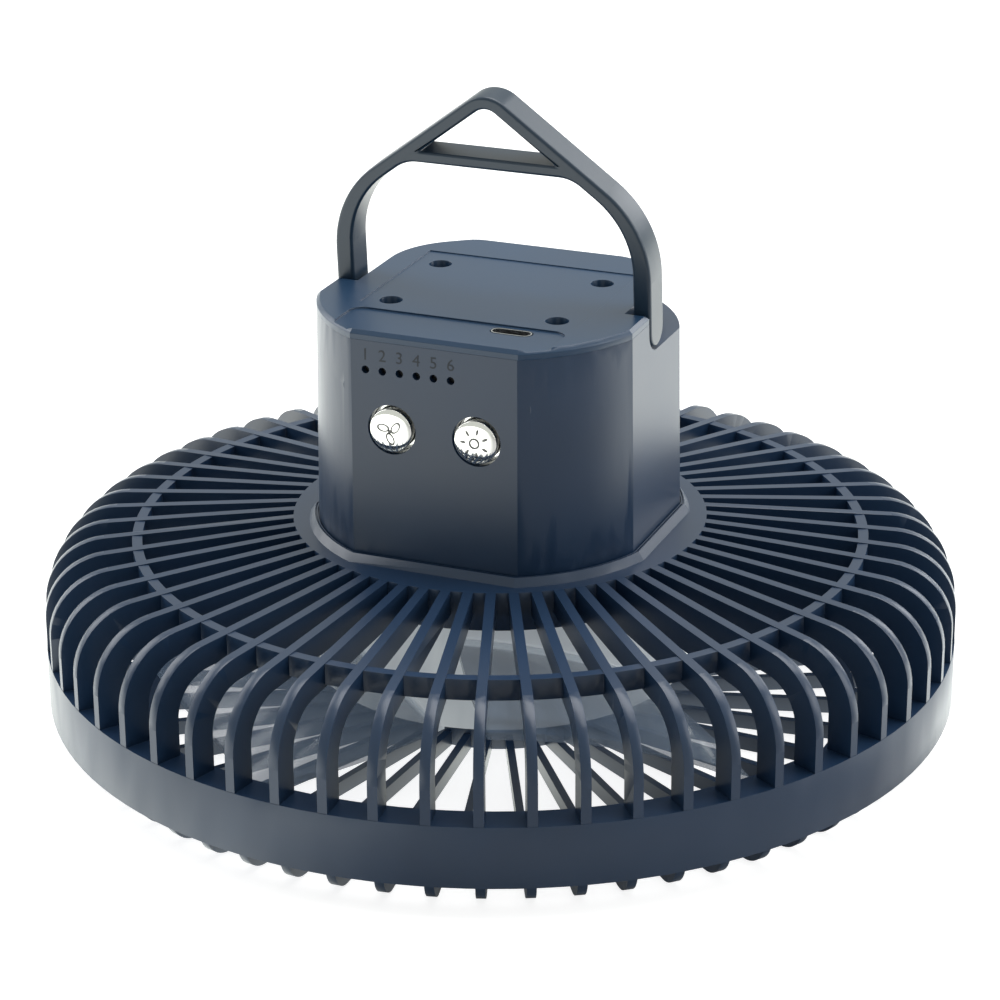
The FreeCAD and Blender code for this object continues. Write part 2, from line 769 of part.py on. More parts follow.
def rear_grille():
    """Band, ribs, hoop, hub, rim round the housing's foot and four columns, moulded as one."""
    body = new_body("rear_grille")
    hub = new_sketch(body, "hub_section", "XZ_Plane")
    draw_chain(
        hub,
        [
            ("0", "plate_low"),
            ("skirt_inner", "plate_low"),
            ("skirt_inner", "skirt_low"),
            ("hub_radius", "skirt_low"),
            ("hub_radius", "hub_top"),
            ("0", "hub_top"),
        ],
    )
    revolve(body, hub, "hub")
    rim = new_sketch(body, "rim_outline", level="hub_top")
    draw_chain(rim, box_outline("rim_half_width", "rim_half_depth", "rim_corner"))
    bead = extrude(body, rim, "rim", cell("rim_height"))
    bead.setExpression("TaperAngle", "-" + cell("rim_slope"))
    well = new_sketch(body, "well_outline", level="rim_top")
    draw_chain(well, box_outline("well_half_width", "well_half_depth", "well_corner"))
    extrude(body, well, "well", span("seat_top", "rim_top"), "Pocket")
    groove = new_sketch(body, "groove_outline", level="rim_top")
    draw_chain(groove, box_outline("groove_in_width", "groove_in_depth", "groove_in_corner"))
    draw_chain(groove, box_outline("groove_out_width", "groove_out_depth", "groove_out_corner"))
    extrude(body, groove, "rim_groove", cell("groove_depth"), "Pocket")
    columns = new_sketch(body, "column_plan", level="seat_top")
    pilots = new_sketch(body, "pilot_plan", level="column_joint")
    for x in ("column_x", "-column_x"):
        for y in ("column_front", "column_back"):
            draw_circle(columns, x, y, "column_radius")
            draw_circle(pilots, x, y, "cover_screw_radius")
    extrude(body, columns, "columns", span("seat_top", "column_joint"))
    extrude(body, pilots, "pilots", span("cover_screw_low", "column_joint"), "Pocket")
    pinholes = new_sketch(body, "motor_screw_plan", level="seat_top")
    draw_motor_screw_circles(pinholes)
    extrude(body, pinholes, "motor_screw_holes", span("plate_low", "seat_top"), "Pocket")
    rib = new_sketch(body, "rib_section", "XZ_Plane", phase="rib_phase")
    draw_chain(
        rib,
        [
            ("rib_inner", "rib_foot"),
            ("rib_outer", "rib_foot"),
            ("rib_outer", "arc_centre_z", "shoulder_radius", 1),
            ("arc_end", "arc_end_z"),
            ("hub_radius", "hub_top"),
            ("skirt_mid", "hub_top"),
            ("skirt_mid", "rib_root_low"),
            ("inner_end", "inner_end_z", "shoulder_inner", -1),
            ("rib_inner", "inner_centre_z"),
        ],
    )
    first_rib = extrude(body, rib, "first_rib", cell("rib_thick"), both=True)
    pattern_round(body, first_rib, "rib_count", "ribs")
    band = new_sketch(body, "band_section", "XZ_Plane")
    draw_chain(
        band,
        [
            ("band_inner", "band_low"),
            ("fan_radius", "band_low"),
            ("fan_radius", "band_top"),
            ("flange_inner", "band_top"),
            ("flange_inner", "flange_low"),
            ("band_inner", "flange_low"),
        ],
    )
    revolve(body, band, "band")
    hoop = new_sketch(body, "hoop_section", "XZ_Plane")
    draw_chain(
        hoop,
        [
            ("hoop_inner", "hoop_low"),
            ("hoop_radius", "hoop_low"),
            ("hoop_radius", "hoop_top"),
            ("hoop_inner", "hoop_top"),
        ],
    )
    revolve(body, hoop, "hoop")
    bites = new_sketch(body, "grille_screw_plan", level="flange_low")
    draw_grille_screw_circles(bites)
    extrude(body, bites, "grille_screw_holes", cell("grille_screw_bite"), "Pocket", reverse=True)
    return body


def draw_turned_circles(sketch, count, ring_name, radius, phase):
    """Circles spread evenly on a ring, placed by expressions."""
    number = int(value(count))
    for index in range(number):
        angle = f"{cell(phase)} + {index} * {FULL_TURN} / {cell(count)}"
        degrees = value(phase) + index * FULL_TURN / number
        turn = math.radians(degrees)
        centre = Vector(value(ring_name) * math.cos(turn), value(ring_name) * math.sin(turn), 0)
        geometry = sketch.addGeometry(Part.Circle(centre, Vector(0, 0, 1), value(radius)))
        rules = [
            Sketcher.Constraint("Radius", geometry, value(radius)),
            Sketcher.Constraint("DistanceX", -1, 1, geometry, 3, centre.x),
            Sketcher.Constraint("DistanceY", -1, 1, geometry, 3, centre.y),
        ]
        across, along = polar(ring_name, angle)
        bind(sketch, rules, [(0, cell(radius)), (1, across), (2, along)])


def draw_motor_screw_circles(sketch):
    draw_turned_circles(sketch, "motor_screw_count", "motor_screw_ring", "motor_screw_radius", "motor_screw_phase")


def draw_grille_screw_circles(sketch):
    draw_turned_circles(sketch, "grille_screw_count", "grille_screw_ring", "grille_screw_radius", "grille_screw_phase")


# Housing and cover


def cut_handle_pocket(body, top):
    """Cut away what lies outside the raised block behind the pivot, down to the ledge."""
    rear = new_sketch(body, body.Name + "_ledge_plan", level="ledge_z")
    draw_chain(
        rear,
        [
            ("-clear_x", "0"),
            ("-block_x", "0"),
            ("-block_x", "block_arc_y", "block_arc", -1),
            ("-block_line_x", "block_line_y"),
            ("-block_side_x", "block_side_y", "block_round", -1),
            ("-block_rear_x", "block_y"),
            ("block_rear_x", "block_y", "block_round", -1),
            ("block_side_x", "block_side_y"),
            ("block_line_x", "block_line_y", "block_arc", -1),
            ("block_x", "block_arc_y"),
            ("block_x", "0"),
            ("clear_x", "0"),
            ("clear_x", "clear_x"),
            ("-clear_x", "clear_x"),
        ],
    )
    extrude(body, rear, body.Name + "_ledge", span("ledge_z", top), "Pocket", reverse=True)
    for side, sign in (("right", ""), ("left", "-")):
        slot = new_sketch(body, f"{body.Name}_{side}_slot_plan", "YZ_Plane", level=sign + "block_x")
        draw_chain(
            slot,
            [
                ("-pocket_radius", "pivot_z", "pocket_radius", 1),
                ("0", "ledge_z"),
                ("0", "cover_top"),
                ("-pocket_radius", "cover_top"),
            ],
        )
        extrude(
            body, slot, f"{body.Name}_{side}_slot", span("block_x", "clear_x"), "Pocket", reverse=side == "right"
        )


def housing():
    """The box wall round the battery and the electronics, open below and above."""
    body = new_body("housing")
    outline = new_sketch(body, "foot_outline", level="seat_top")
    draw_chain(outline, box_outline("foot_half_width", "foot_half_depth", "foot_corner"))
    walls = extrude(body, outline, "walls", cell("housing_height"))
    walls.setExpression("TaperAngle", "-" + cell("wall_draft"))
    cavity = new_sketch(body, "cavity_outline", level="seat_top")
    draw_chain(cavity, box_outline("inner_half_width", "inner_half_depth", "inner_corner"))
    extrude(body, cavity, "cavity", span("seat_top", "core_top"), "Pocket", reverse=True)
    core = new_sketch(body, "core_outline", level="core_top")
    draw_chain(
        core,
        [
            ("-flat_x", "wall_inside"),
            ("flat_x", "wall_inside"),
            ("core_x", "-flat_x"),
            ("core_x", "block_arc_y", "core_arc", 1),
            ("core_line_x", "core_line_y"),
            ("core_back_x", "core_y"),
            ("-core_back_x", "core_y"),
            ("-core_line_x", "core_line_y", "core_arc", 1),
            ("-core_x", "block_arc_y"),
            ("-core_x", "-flat_x"),
        ],
    )
    extrude(body, core, "core", span("core_top", "cover_low"), "Pocket", reverse=True)
    cut_handle_pocket(body, "cover_low")
    bosses = new_sketch(body, "board_boss_plan", "XZ_Plane", level="board_front")
    pilots = new_sketch(body, "board_pilot_plan", "XZ_Plane", level="board_front")
    for x in ("board_boss_x", "-board_boss_x"):
        for z in ("board_boss_low", "board_boss_high"):
            draw_circle(bosses, x, z, "board_boss")
            draw_circle(pilots, x, z, "board_screw_radius")
    extrude(body, bosses, "board_bosses", span("board_front", "boss_root"))
    extrude(body, pilots, "board_pilots", cell("board_screw_reach"), "Pocket", reverse=True)
    wells = new_sketch(body, "button_plan", "XZ_Plane", level="board_front")
    for x in ("button_x", "-button_x"):
        draw_circle(wells, x, "button_z", "button_well")
    draw_light_circles(wells, "light_hole")
    extrude(body, wells, "front_holes", span("board_front", "clear_x"), "Pocket", reverse=True)
    pivots = new_sketch(body, "pivot_plan", "YZ_Plane")
    draw_circle(pivots, "0", "pivot_z", "pivot_bore")
    extrude(body, pivots, "pivot_holes", f"2 * {cell('leg_out')}", "Pocket", both=True)
    return body


def draw_light_circles(sketch, radius):
    for index in range(int(value("light_count"))):
        x = value("light_first") + index * value("light_pitch")
        geometry = sketch.addGeometry(
            Part.Circle(Vector(x, value("light_z"), 0), Vector(0, 0, 1), value(radius))
        )
        rules = [
            Sketcher.Constraint("Radius", geometry, value(radius)),
            Sketcher.Constraint("DistanceX", -1, 1, geometry, 3, x),
            Sketcher.Constraint("DistanceY", -1, 1, geometry, 3, value("light_z")),
        ]
        across = f"{cell('light_first')} + {index} * {cell('light_pitch')}"
        bind(sketch, rules, [(0, cell(radius)), (1, across), (2, cell("light_z"))])


def top_cover():
    """The bevelled top plate with its panel, port strip and four screw tubes."""
    body = new_body("top_cover")
    outline = new_sketch(body, "cover_outline", level="cover_low")
    draw_chain(outline, box_outline("half_width", "half_depth", "corner_radius"))
    extrude(body, outline, "plate", cell("cover_thick"))
    cut_handle_pocket(body, "cover_top")
    top = value("cover_top")
    ease_edges(body, "Chamfer", "bevel", "cover_bevel", lambda edge: lies_at(edge, top))
    panel = new_sketch(body, "panel_outline", level="cover_top")
    draw_chain(
        panel,
        [
            ("-panel_half", "-panel_front"),
            ("panel_half", "-panel_front"),
            ("panel_half", "panel_back"),
            ("-panel_half", "panel_back"),
        ],
    )
    extrude(body, panel, "panel", cell("panel_depth"), "Pocket")
    strip = new_sketch(body, "strip_outline", level="cover_top")
    draw_chain(
        strip,
        [
            ("-strip_half", "-strip_mouth"),
            ("strip_half", "-strip_mouth"),
            ("strip_half", "-strip_corner_y", "strip_round", 1),
            ("strip_corner_x", "-strip_front"),
            ("-strip_corner_x", "-strip_front", "strip_round", 1),
            ("-strip_half", "-strip_corner_y"),
        ],
    )
    extrude(body, strip, "strip", cell("strip_depth"), "Pocket")
    tubes = new_sketch(body, "tube_plan", level="column_joint")
    heads = new_sketch(body, "head_plan", level="column_seat")
    shanks = new_sketch(body, "shank_plan", level="column_joint")
    for x in ("column_x", "-column_x"):
        for y in ("column_front", "column_back"):
            draw_circle(tubes, x, y, "column_radius")
            draw_circle(heads, x, y, "head_bore")
            draw_circle(shanks, x, y, "cover_screw_bore")
    extrude(body, tubes, "tubes", span("column_joint", "cover_low"))
    extrude(body, heads, "head_bores", span("column_seat", "cover_top"), "Pocket", reverse=True)
    extrude(body, shanks, "shank_bores", cell("column_floor"), "Pocket", reverse=True)
    slot = new_sketch(body, "port_plan", level="cover_low")
    draw_slot(slot, "port_slot_width", "port_slot_depth")
    extrude(body, slot, "port_slot", span("cover_low", "cover_top"), "Pocket", reverse=True)
    reliefs = new_sketch(body, "washer_relief_plan", level="cover_low")
    for x in ("", "-"):
        draw_chain(
            reliefs,
            [
                (x + "relief_in", "-relief_half"),
                (x + "core_x", "-relief_half"),
                (x + "core_x", "relief_half"),
                (x + "relief_in", "relief_half"),
            ],
        )
    extrude(body, reliefs, "washer_reliefs", span("cover_low", "relief_top"), "Pocket", reverse=True)
    return body


def lies_at(edge, level):
    """True for an edge that lies wholly at one level."""
    box_of_edge = edge.BoundBox
    return abs(box_of_edge.ZMin - level) < 1e-4 and abs(box_of_edge.ZMax - level) < 1e-4


def draw_slot(sketch, width, depth):
    """A slot with half-round ends, centred on the port."""
    half = value(depth) / 2
    reach = value(width) / 2 - half
    x, y = value("port_x"), value("port_y")
    up = Vector(0, 0, 1)
    right = Part.Circle(Vector(x + reach, y, 0), up, half)
    left = Part.Circle(Vector(x - reach, y, 0), up, half)
    geometry = [
        sketch.addGeometry(Part.ArcOfCircle(right, -math.pi / 2, math.pi / 2)),
        sketch.addGeometry(Part.LineSegment(Vector(x + reach, y + half, 0), Vector(x - reach, y + half, 0))),
        sketch.addGeometry(Part.ArcOfCircle(left, math.pi / 2, 3 * math.pi / 2)),
        sketch.addGeometry(Part.LineSegment(Vector(x - reach, y - half, 0), Vector(x + reach, y - half, 0))),
    ]
    rules = []
    for here, there in zip(geometry, geometry[1:] + geometry[:1]):
        rules.append(Sketcher.Constraint("Tangent", here, 2, there, 1))
    first = len(rules)
    rules += [
        Sketcher.Constraint("Radius", geometry[0], half),
        Sketcher.Constraint("DistanceX", -1, 1, geometry[0], 3, x + reach),
        Sketcher.Constraint("DistanceY", -1, 1, geometry[0], 3, y),
        Sketcher.Constraint("DistanceX", -1, 1, geometry[2], 3, x - reach),
        Sketcher.Constraint("DistanceY", -1, 1, geometry[2], 3, y),
    ]
    reach_formula = f"({cell(width)} - {cell(depth)}) / 2"
    bind(
        sketch,
        rules,
        [
            (first, f"{cell(depth)} / 2"),
            (first + 1, f"{cell('port_x')} + {reach_formula}"),
            (first + 2, cell("port_y")),
            (first + 3, f"{cell('port_x')} - {reach_formula}"),
        ],
    )


def cover_screws():
    """Four long screws that clamp the housing between the cover's tubes and the hub's columns."""
    screws = []
    for across, x in (("right", "column_x"), ("left", "-column_x")):
        for along, y in (("front", "column_front"), ("back", "column_back")):
            name = f"cover_screw_{across}_{along}"
            screws.append(
                screw(
                    name, "cover_screw_head", "cover_screw_radius", "column_seat", "cover_screw_top",
                    "cover_screw_low", cell(x), cell(y),
                )
            )
    return group("cover_screws", screws)


# Handle


def handle():
    """Two legs, two arms and a crossbar, with a short trunnion inside each leg."""
    body = new_body("handle")
    face = new_sketch(body, "handle_face", "XZ_Plane")
    right = [
        ("bar_x", "bar_z"),
        ("leg_in", "shoulder_in_z"),
        ("leg_in", "pivot_z"),
        ("leg_out", "pivot_z"),
        ("leg_out", "shoulder_z"),
    ]
    left = [("-" + x, z) for x, z in reversed(right)]
    draw_chain(face, right + [("0", "apex_z")] + left)
    draw_chain(face, [("hook_x", "hook_z"), ("0", "apex_in_z"), ("-hook_x", "hook_z")])
    extrude(body, face, "strap", f"2 * {cell('leg_half_depth')}", both=True)
    for radius, x, z in (
        ("shoulder_out", "leg_out", "shoulder_z"),
        ("shoulder_in", "leg_in", "shoulder_in_z"),
        ("apex_round", "0", "apex_z"),
        ("apex_inner_round", "0", "apex_in_z"),
        ("bar_round", "bar_x", "bar_z"),
    ):
        ease_edges(
            body, "Fillet", f"{radius}_at_{z}", radius,
            lambda edge, x=x, z=z: runs_through(edge, value(x), value(z)),
        )
    for side, sign in (("right", ""), ("left", "-")):
        end = new_sketch(body, side + "_leg_end", "YZ_Plane", level=sign + "leg_in")
        draw_circle(end, "0", "pivot_z", "leg_half_depth")
        extrude(body, end, side + "_round_end", cell("leg_thick"), reverse=side == "left")
    half_depth = value("leg_half_depth")
    ease_edges(
        body, "Fillet", "edges", "handle_edge",
        lambda edge: stays_on_face(edge, half_depth),
    )
    for side, sign in (("right", ""), ("left", "-")):
        pin = new_sketch(body, side + "_pin_plan", "YZ_Plane", level=sign + "leg_in")
        draw_circle(pin, "0", "pivot_z", "trunnion_radius")
        extrude(body, pin, side + "_trunnion", span("trunnion_end", "leg_in"), reverse=side == "right")
        bore = new_sketch(body, side + "_bore_plan", "YZ_Plane", level=sign + "trunnion_end")
        draw_circle(bore, "0", "pivot_z", "handle_screw_radius")
        extrude(body, bore, side + "_bore", span("trunnion_end", "leg_in"), "Pocket", reverse=side == "right")
    lean = cell("handle_lean")
    body.Placement = Placement(Vector(), Rotation(Vector(1, 0, 0), value("handle_lean")))
    body.setExpression("Placement.Rotation.Angle", lean)
    body.setExpression("Placement.Base.y", f"{cell('pivot_z')} * sin({lean})")
    body.setExpression("Placement.Base.z", f"{cell('pivot_z')} * (1 - cos({lean}))")
    return body


def runs_through(edge, x, z):
    """True for a straight edge along Y at +x or -x and at this height."""
    bounds = edge.BoundBox
    at_x = abs(abs(bounds.XMin) - x) < 1e-4 and bounds.XLength < 1e-4
    return at_x and abs(bounds.ZMin - z) < 1e-4 and bounds.ZLength < 1e-4


def stays_on_face(edge, half_depth):
    """True for an edge that lies in the strap's front or back face."""
    bounds = edge.BoundBox
    return bounds.YLength < 1e-4 and abs(abs(bounds.YMin) - half_depth) < 1e-4


def handle_washers():
    pieces = []
    for side, low, high in (("right", "washer_end", "trunnion_end"), ("left", "-trunnion_end", "-washer_end")):
        name = side + "_washer"
        outside = cylinder_along(name + "_outside", "x", "washer_radius", low, high, "0", cell("pivot_z"))
        inside = cylinder_along(name + "_bore", "x", "handle_screw_radius", low, high, "0", cell("pivot_z"))
        pieces.append(subtract(name, outside, inside))
    return group("handle_washers", pieces)


def handle_screws():
    pieces = []
    ends = (
        ("right", "handle_head_end", "washer_end", "leg_in"),
        ("left", "-leg_in", "-washer_end", "-handle_head_end"),
    )
    for side, low, middle, high in ends:
        head_low, head_high = (low, middle) if side == "right" else (middle, high)
        shank_low, shank_high = (middle, high) if side == "right" else (low, middle)
        name = side + "_handle_screw"
        head = cylinder_along(name + "_head", "x", "handle_screw_head", head_low, head_high, "0", cell("pivot_z"))
        shank = cylinder_along(
            name + "_shank", "x", "handle_screw_radius", shank_low, shank_high, "0", cell("pivot_z")
        )
        pieces.append(join(name, [head, shank]))
    return group("handle_screws", pieces)


# Controls and electronics


def push_button(name, x):
    """A domed cap with a retaining flange behind the wall and a stem to its switch."""
    body = new_body(name)
    half = new_sketch(body, name + "_section", "XY_Plane")
    draw_chain(
        half,
        [
            ("0", "-button_top", "crown_radius", 1),
            ("button_radius", "-button_edge"),
            ("button_radius", "-button_back"),
            ("button_flange", "-button_back"),
            ("button_flange", "-button_flange_back"),
            ("button_stem", "-button_flange_back"),
            ("button_stem", "-stem_end"),
            ("0", "-stem_end"),
        ],
    )
    revolve(body, half, name + "_turned")
    body.setExpression("Placement.Base.x", cell(x))
    body.setExpression("Placement.Base.z", cell("button_z"))
    return body


def plunger(name, x):
    return relabel(
        cylinder_along(name, "y", "plunger_radius", "-stem_end", "-plunger_end", cell(x), cell("button_z")), name
    )


def relabel(piece, name):
    piece.Label = name
    return piece


def push_switch(name, x):
    """A switch case on the board, with the bore that its plunger runs in."""
    side = cell("switch_side")
    case = box(
        name + "_case",
        (side, cell("switch_depth"), side),
        (f"{cell(x)} - {side} / 2", "-" + cell("switch_front"), f"{cell('button_z')} - {side} / 2"),
    )
    bore = cylinder_along(
        name + "_bore", "y", "plunger_bore", "-switch_front", "-plunger_floor", cell(x), cell("button_z")
    )
    return subtract(name, case, bore)


def circuit_board():
    """The upright board behind the front wall, with its four screw holes."""
    board = box(
        "board_blank",
        (f"2 * {cell('board_half')}", cell("board_thick"), span("board_low", "board_high")),
        ("-" + cell("board_half"), "-" + cell("board_front"), cell("board_low")),
    )
    holes = []
    for side, x in (("right", "board_boss_x"), ("left", "-board_boss_x")):
        for level, z in (("low", "board_boss_low"), ("high", "board_boss_high")):
            holes.append(
                cylinder_along(
                    f"board_hole_{side}_{level}", "y", "board_screw_radius", "-board_front", "board_back",
                    cell(x), cell(z),
                )
            )
    return subtract("circuit_board", board, join("board_holes", holes))


def board_screws():
    screws = []
    for side, x in (("right", "board_boss_x"), ("left", "-board_boss_x")):
        for level, z in (("low", "board_boss_low"), ("high", "board_boss_high")):
            name = f"board_screw_{side}_{level}"
            head = cylinder_along(
                name + "_head", "y", "board_screw_head", "board_back", "board_screw_top", cell(x), cell(z)
            )
            shank = cylinder_along(
                name + "_shank", "y", "board_screw_radius", "-board_screw_tip", "board_back", cell(x), cell(z)
            )
            screws.append(join(name, [head, shank]))
    return group("board_screws", screws)


def indicator_lens():
    """A clear bar behind the front wall with one pip in each indicator hole."""
    bar = box(
        "lens_bar",
        (cell("lens_length"), cell("lens_thick"), cell("lens_high")),
        (cell("lens_start"), cell("wall_inside"), f"{cell('light_z')} - {cell('lens_high')} / 2"),
    )
    pips = []
    for index in range(int(value("light_count"))):
        across = f"{cell('light_first')} + {index} * {cell('light_pitch')}"
        pips.append(
            cylinder_along(f"pip_{index + 1}", "y", "pip_radius", "-pip_end", "-lens_back", across, cell("light_z"))
        )
    return join("indicator_lens", [bar] + pips)


def indicator_leds():
    lamps = []
    side = cell("led_side")
    for index in range(int(value("light_count"))):
        across = f"{cell('light_first')} + {index} * {cell('light_pitch')} - {side} / 2"
        lamps.append(
            box(
                f"led_{index + 1}",
                (side, cell("led_thick"), side),
                (across, f"-({cell('board_front')} + {cell('led_thick')})", f"{cell('light_z')} - {side} / 2"),
            )
        )
    return group("indicator_leds", lamps)


def usb_port():
    """The metal shell of the charging socket, open at the top, on the back of the board."""
    body = new_body("usb_port")
    outside = new_sketch(body, "shell_outline", level="port_low")
    draw_slot(outside, "port_width", "port_depth")
    extrude(body, outside, "shell", cell("port_length"))
    inside = new_sketch(body, "shell_bore", level="port_floor_z")
    draw_slot(inside, "port_inner_width", "port_inner_depth")
    extrude(body, inside, "shell_inside", span("port_floor_z", "port_top"), "Pocket", reverse=True)
    return body


def usb_tongue():
    return relabel(
        box(
            "usb_tongue",
            (cell("tongue_width"), cell("tongue_depth"), cell("tongue_length")),
            (
                f"{cell('port_x')} - {cell('tongue_width')} / 2",
                f"{cell('port_y')} - {cell('tongue_depth')} / 2",
                cell("port_floor_z"),
            ),
        ),
        "usb_tongue",
    )


# Battery


def cell_at(name, level, radius, half_length):
    low, high = "-" + half_length, half_length
    return cylinder_along(name, "x", radius, low, high, cell("-column_shift"), cell(level))


def battery_cells():
    return group(
        "battery_cells",
        [
            cell_at("lower_cell", "cell_low_z", "cell_radius", "cell_half"),
            cell_at("upper_cell", "cell_high_z", "cell_radius", "cell_half"),
        ],
    )


def battery_brackets():
    """Two upright plates on the hub, each with two holes that hold the cells."""
    brackets = []
    for side, sign in (("right", "1"), ("left", "-1")):
        name = side + "_bracket"
        plate = box(
            name + "_plate",
            (cell("bracket_thick"), f"2 * {cell('bracket_half')}", span("seat_top", "bracket_top")),
            (
                f"{sign} * {cell('bracket_x')} - {cell('bracket_thick')} / 2",
                f"-{cell('bracket_half')} - {cell('column_shift')}",
                cell("seat_top"),
            ),
        )
        holes = [
            cell_at(name + "_lower_hole", "cell_low_z", "cell_hole", "cell_half"),
            cell_at(name + "_upper_hole", "cell_high_z", "cell_hole", "cell_half"),
        ]
        brackets.append(subtract(name, plate, join(name + "_holes", holes)))
    return group("battery_brackets", brackets)


# Motor


def motor_case():
    """A drawn can with a seat for the front bearing."""
    body = new_body("motor_case")
    half = new_sketch(body, "case_section", "XZ_Plane")
    draw_chain(
        half,
        [
            ("bearing_radius", "motor_low"),
            ("motor_radius", "motor_low"),
            ("motor_radius", "case_top"),
            ("case_inner", "case_top"),
            ("case_inner", "case_floor"),
            ("bearing_radius", "case_floor"),
        ],
    )
    revolve(body, half, "can")
    return body


def motor_back_plate():
    """The plate that closes the can and is screwed under the hub."""
    body = new_body("motor_back_plate")
    plate = new_sketch(body, "back_plan", level="case_top")
    draw_ring(plate, "motor_radius", "bearing_radius")
    extrude(body, plate, "back", span("case_top", "motor_top"))
    holes = new_sketch(body, "back_holes_plan", level="motor_top")
    draw_motor_screw_circles(holes)
    extrude(body, holes, "back_holes", cell("motor_screw_reach"), "Pocket")
    return body


def motor_bearings():
    return group(
        "motor_bearings",
        [
            ring("front_bearing", "bearing_radius", "shaft_bore", "motor_low", "front_bearing_top"),
            ring("back_bearing", "bearing_radius", "shaft_bore", "back_bearing_low", "motor_top"),
        ],
    )


def motor_screws():
    screws = []
    for index in range(int(value("motor_screw_count"))):
        angle = f"{cell('motor_screw_phase')} + {index} * {FULL_TURN} / {cell('motor_screw_count')}"
        x, y = polar("motor_screw_ring", angle)
        screws.append(
            screw(
                f"motor_screw_{index + 1}", "motor_screw_head", "motor_screw_radius", "seat_top",
                "motor_screw_top", "motor_screw_low", x, y,
            )
        )
    return group("motor_screws", screws)


# Impeller


def draw_blade_section(sketch, station):
    """A thin cambered section that falls from its leading edge to its trailing edge."""
    camber = station + "_camber"
    draw_chain(
        sketch,
        [
            (station + "_lead", station + "_top", camber, -1),
            (station + "_trail", station + "_bottom"),
            (station + "_trail", station + "_bottom_under", camber, 1),
            (station + "_lead", station + "_top_under"),
        ],
    )


def impeller():
    """A hub cup with broad blades lofted outwards and trimmed to a round tip."""
    body = new_body("impeller_blank")
    core = new_sketch(body, "hub_core_section", "XZ_Plane")
    draw_chain(
        core,
        [
            ("shaft_radius", "impeller_low"),
            ("impeller_hub", "impeller_low"),
            ("impeller_hub", "hub_cup_top"),
            ("shaft_radius", "hub_cup_top"),
        ],
    )
    revolve(body, core, "hub_core")
    sections = []
    for station in BLADE_STATIONS:
        section = new_sketch(body, f"blade_{station}_section", "YZ_Plane", level=f"{station}_at")
        draw_blade_section(section, station)
        sections.append(section)
    blade = body.newObject("PartDesign::AdditiveLoft", "first_blade")
    blade.Profile = sections[0]
    blade.Sections = sections[1:]
    body.Tip = blade
    pattern_round(body, blade, "blade_count", "blades")
    hollow = new_sketch(body, "hollow_section", "XZ_Plane")
    draw_chain(
        hollow,
        [
            ("shaft_radius", "boss_top"),
            ("impeller_boss", "boss_top"),
            ("impeller_boss", "cup_floor"),
            ("cup_inner", "cup_floor"),
            ("cup_inner", "hub_cup_top"),
            ("shaft_radius", "hub_cup_top"),
        ],
    )
    revolve(body, hollow, "hollow", kind="Groove")
    body.Placement = Placement(Vector(), Rotation(Vector(0, 0, 1), value("impeller_phase")))
    body.setExpression("Placement.Rotation.Angle", cell("impeller_phase"))
    trimmed = document.addObject("Part::Common", "impeller")
    trimmed.Base = body
    trimmed.Tool = cylinder("round_tips", "blade_tip", "0", "hub_top")
    return trimmed


# Front grille and lamp


def front_grille():
    """The moulding that the fan stands on: ribs, hoop, spokes, lamp cup and the rim inside the band."""
    body = new_body("front_grille")
    cup = new_sketch(body, "lamp_cup_section", "XZ_Plane")
    draw_chain(
        cup,
        [
            ("0", "lamp_ceiling"),
            ("lamp_inner", "lamp_ceiling"),
            ("lamp_inner", "0"),
            ("lamp_radius", "0"),
            ("lamp_radius", "lamp_top"),
            ("0", "lamp_top"),
        ],
    )
    revolve(body, cup, "lamp_cup")
    hoop = new_sketch(body, "foot_hoop_section", "XZ_Plane")
    draw_chain(
        hoop,
        [
            ("hoop_in", "0"),
            ("hoop_out", "0"),
            ("hoop_out", "spoke_depth"),
            ("hoop_in", "spoke_depth"),
        ],
    )
    revolve(body, hoop, "foot_hoop_ring")
    rim = new_sketch(body, "foot_rim_section", "XZ_Plane")
    draw_chain(
        rim,
        [
            ("rim_in", "rim_low"),
            ("rim_out", "rim_low"),
            ("rim_out", "flange_low"),
            ("rim_in", "flange_low"),
        ],
    )
    revolve(body, rim, "foot_rim")
    holes = new_sketch(body, "rim_holes_plan", level="rim_low")
    draw_grille_screw_circles(holes)
    extrude(body, holes, "rim_holes", span("rim_low", "flange_low"), "Pocket", reverse=True)
    pilots = new_sketch(body, "lamp_screw_plan", level="lamp_ceiling")
    draw_lamp_screw_circles(pilots)
    extrude(body, pilots, "lamp_screw_holes", cell("lamp_screw_bite"), "Pocket", reverse=True)
    spoke = new_sketch(body, "spoke_section", "XZ_Plane", phase="spoke_phase")
    draw_chain(
        spoke,
        [
            ("lamp_mid", "0"),
            ("hoop_mid", "0"),
            ("hoop_mid", "spoke_depth"),
            ("lamp_mid", "spoke_depth"),
        ],
    )
    first_spoke = extrude(body, spoke, "first_spoke", cell("spoke_thick"), both=True)
    pattern_round(body, first_spoke, "spoke_count", "spokes")
    rib = new_sketch(body, "foot_rib_section", "XZ_Plane", phase="rib_phase")
    draw_chain(
        rib,
        [
            ("hoop_mid", "0"),
            ("foot_centre", "0", "foot_round", 1),
            ("foot_radius", "foot_round"),
            ("foot_radius", "rib_end_z"),
            ("foot_wall", "rib_end_z"),
            ("foot_wall", "foot_round", "foot_inner_round", -1),
            ("foot_centre", "foot_depth"),
            ("hoop_mid", "foot_depth"),
        ],
    )
    first_rib = extrude(body, rib, "first_foot_rib", cell("foot_thick"), both=True)
    pattern_round(body, first_rib, "rib_count", "foot_ribs")
    return body


def draw_lamp_screw_circles(sketch):
    draw_turned_circles(sketch, "lamp_screw_count", "lamp_screw_ring", "lamp_screw_radius", "lamp_screw_phase")


